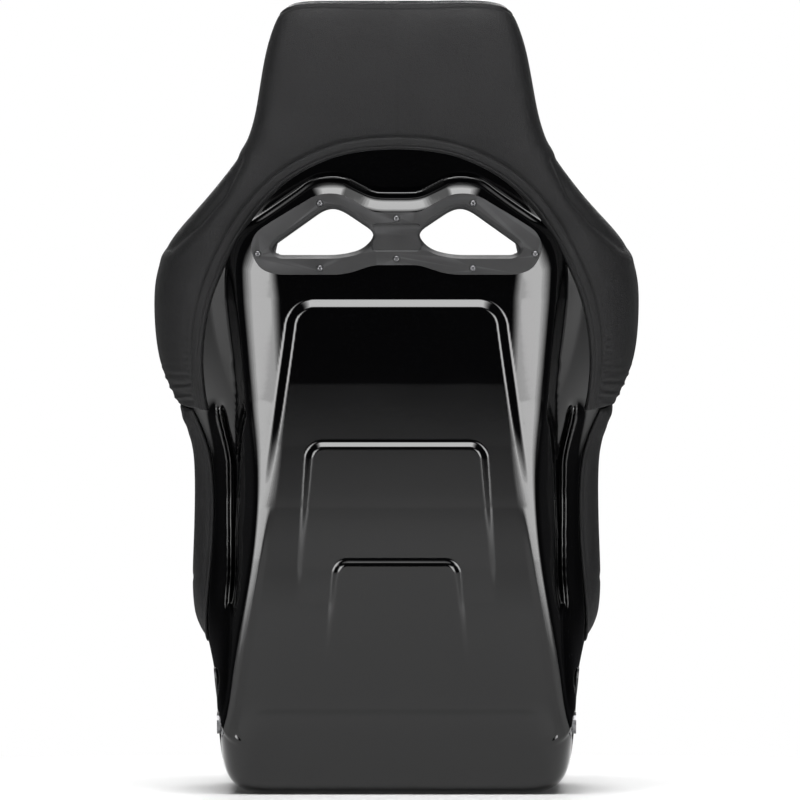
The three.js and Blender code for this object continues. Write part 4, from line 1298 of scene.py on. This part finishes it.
def make_side_pads():
    for name, side in (("left", -1), ("right", 1)):
        torso = PadArea((0.575, 0.99), (9.2, 14.17), PAD_START, side=side)
        soft_pad(f"torso_bolster_{name}_stuffed", f"torso_bolster_{name}", torso, 34, 14, "cover", 6,
                 seams=lines_along(0.05, 0.95, (0.24,)), piping=(0.06, 0.04))
        shoulder = PadArea((0.575, 0.99), (14.26, 17.27), PAD_START, side=side)
        soft_pad(f"shoulder_pad_{name}_stuffed", f"shoulder_pad_{name}", shoulder, 24, 9, "fabric", 5,
                 channels=lines_across(0.12, 0.88, (0.34, 0.67)), piping=(0.06, 0.05))
        thigh = PadArea((0.575, 0.99), (0.12, 4.68), PAD_START, side=side)
        soft_pad(f"thigh_bolster_{name}_stuffed", f"thigh_bolster_{name}", thigh, 30, 10, "cover", 5,
                 seams=lines_along(0.05, 0.95, (0.26,)), piping=(0.07, 0.03))


def make_head_pad():
    head = PadArea((-0.99, 0.99), (NECK + 0.08, LAST - 0.03), PAD_START)
    soft_pad("head_pad_stuffed", "head_pad", head, 26, 9, "fabric", 6,
             channels=lines_across(0.26, 0.74, (0.36, 0.64)), seams=lines_along(0.05, 0.95, (0.26, 0.74)),
             piping=(0.03, 0.05))


def inside_margin(polygon, points):
    """Signed distance in x and z of points inside a closed polygon."""
    x, z = points[..., 0], points[..., 2]
    nearest = polyline_distance(x, z, np.vstack([polygon, polygon[:1]]))
    return np.where(inside_polygon(polygon, x, z), nearest, -nearest)


def make_back_pad():
    """The fixed pad behind the back cushion, kept behind the front harness frame."""
    back = PadArea((-0.56, 0.56), (7.92, NECK - 0.03), PAD_START, step=4.0)
    centre = cell_centres(loft(back.u, back.s, back.inset + BACK_PAD / 2))
    keep = np.ones(centre.shape[:2], dtype=bool)
    for eye in EYES:
        keep &= ~inside_polygon(rounded_outline(eye, TUNNEL_WALL + 1.6), centre[..., 0], centre[..., 2])
    margin = inside_margin(rounded_outline(BEZEL_CORNERS, 1.4), loft(back.u, back.s, back.inset + 20))
    surface = loft(back.u, back.s, back.inset + pillow_height(back, BACK_PAD, 0, roundness=9))
    bezel_limit = FRONT_BEZEL_Y + BEZEL_PLATE + 1.0 + BEZEL_SLOPE * (surface[..., 2] - BEZEL_Z)
    surface[..., 1] = np.where(margin > -1.5, np.maximum(surface[..., 1], bezel_limit), surface[..., 1])
    obj = sheet_mesh("back_pad_cover", surface, loft(back.u, back.s, back.inset + 0.2), keep)
    finish_piece(obj, "fabric", replaces=["back_pad"])


def make_base_pad():
    base = PadArea((-0.56, 0.56), (0.12, 5.08), PAD_START, step=4.0)
    place = loft(base.u, base.s, base.inset)
    centre = cell_centres(place)
    keep = crotch_distance(centre[..., 0], centre[..., 1]) > 20
    height = pillow_height(base, BASE_PAD, 0, roundness=7)
    obj = sheet_mesh("base_pad_cover", loft(base.u, base.s, base.inset + height), place, keep)
    finish_piece(obj, "fabric", replaces=["base_pad"])


make_cushions()
make_side_pads()
make_head_pad()
make_back_pad()
make_base_pad()
for node_name, node_object in frame["nodes"].items():
    node_slot = next(p["material_slot"] for p in frame["record"]["subparts"] if p["node"] == node_name)
    node_object.data.materials.clear()
    node_object.data.materials.append(SLOTS[node_slot])


# ---------- camera, light and floor ----------
def aim(obj, target):
    direction = Vector(target) - obj.location
    obj.rotation_euler = direction.to_track_quat("-Z", "Y").to_euler()


def make_camera():
    camera = bpy.data.objects.new("camera", bpy.data.cameras.new("camera"))
    camera.location = (-0.004, 9.0, 0.452)
    camera.rotation_euler = (math.pi / 2, 0, math.pi)
    camera.data.sensor_width = 36
    camera.data.lens = 349.5
    camera.data.clip_end = 100
    bpy.context.scene.collection.objects.link(camera)
    bpy.context.scene.camera = camera


def softbox(name, location, target, width, height, radiance):
    """A softbox brightest in its middle: panels one before the other, each smaller and brighter."""
    panels = 7
    for i in range(panels):
        share = 1 - 0.1 * i
        level = ((i + 1) / panels)**1.3
        data = bpy.data.lights.new(f"{name}_{i}", "AREA")
        data.shape = "RECTANGLE"
        data.size, data.size_y = width * share, height * share
        data.energy = radiance * level * math.pi * data.size * data.size_y
        light = bpy.data.objects.new(f"{name}_{i}", data)
        light.location = Vector(location).lerp(Vector(target), 0.008 * i)
        bpy.context.scene.collection.objects.link(light)
        aim(light, target)


def make_world():
    """White behind the object, dim soft surroundings for reflections."""
    world = bpy.data.worlds.new("studio")
    bpy.context.scene.world = world
    world.use_nodes = True
    tree = world.node_tree
    background = tree.nodes["Background"]
    seen = add_node(tree, "LightPath").outputs["Is Camera Ray"]
    shade = mix_colour(tree, seen, (0.02, 0.02, 0.021), (1.0, 1.0, 1.0))
    tree.links.new(shade, background.inputs["Color"])


def make_floor():
    """An oval pale floor whose rim fades into the white surroundings."""
    rings, around = 24, 72
    width, length, below = 1.7, 1.05, -0.0006
    rows = [(0, 0, below)]
    faces = [(0, 1 + j, 1 + (j + 1) % around) for j in range(around)]
    for i in range(1, rings + 1):
        for j in range(around):
            angle = 2 * math.pi * j / around
            share = i / rings
            rows.append((width * share * math.cos(angle), length * share * math.sin(angle), below))
    for i in range(1, rings):
        for j in range(around):
            a = 1 + (i - 1) * around
            k = (j + 1) % around
            faces.append((a + j, a + around + j, a + around + k, a + k))
    floor = new_object("studio_floor", np.array(rows), faces)
    material, tree, shader, place = new_material("pale_floor", specular=0.2)
    oval = add_node(tree, "Mapping", {"Vector": place, "Scale": (length / width, 1, 1)}).outputs["Vector"]
    distance = add_node(tree, "VectorMath", {0: oval}, operation="LENGTH").outputs["Value"]
    tree.links.new(spread(tree, distance, 1.0, 0.0, 0.52, 0.9), shader.inputs["Alpha"])
    mottle = noise(tree, place, 3, 4)
    colour = mix_colour(tree, mottle, (0.80, 0.80, 0.80), (0.86, 0.86, 0.86))
    tree.links.new(colour, shader.inputs["Base Color"])
    tree.links.new(spread(tree, mottle, 0.7, 0.8), shader.inputs["Roughness"])
    floor.data.materials.append(material)


def make_studio():
    scene = bpy.context.scene
    scene.view_settings.view_transform = "Standard"
    scene.view_settings.look = "None"
    make_world()
    make_floor()
    softbox("overhead", (0, 1.35, 2.4), (0, 0.1, 0.4), 3.8, 2.0, 2.8)
    softbox("left_bank", (-1.3, 1.85, -0.15), (0, 0.2, 0.45), 1.8, 2.3, 2.6)
    softbox("right_bank", (1.3, 1.85, -0.15), (0, 0.2, 0.45), 1.8, 2.3, 2.6)
    softbox("front_fill", (0, -2.4, 1.9), (0, 0, 0.45), 2.4, 1.6, 4.8)


make_camera()
make_studio()
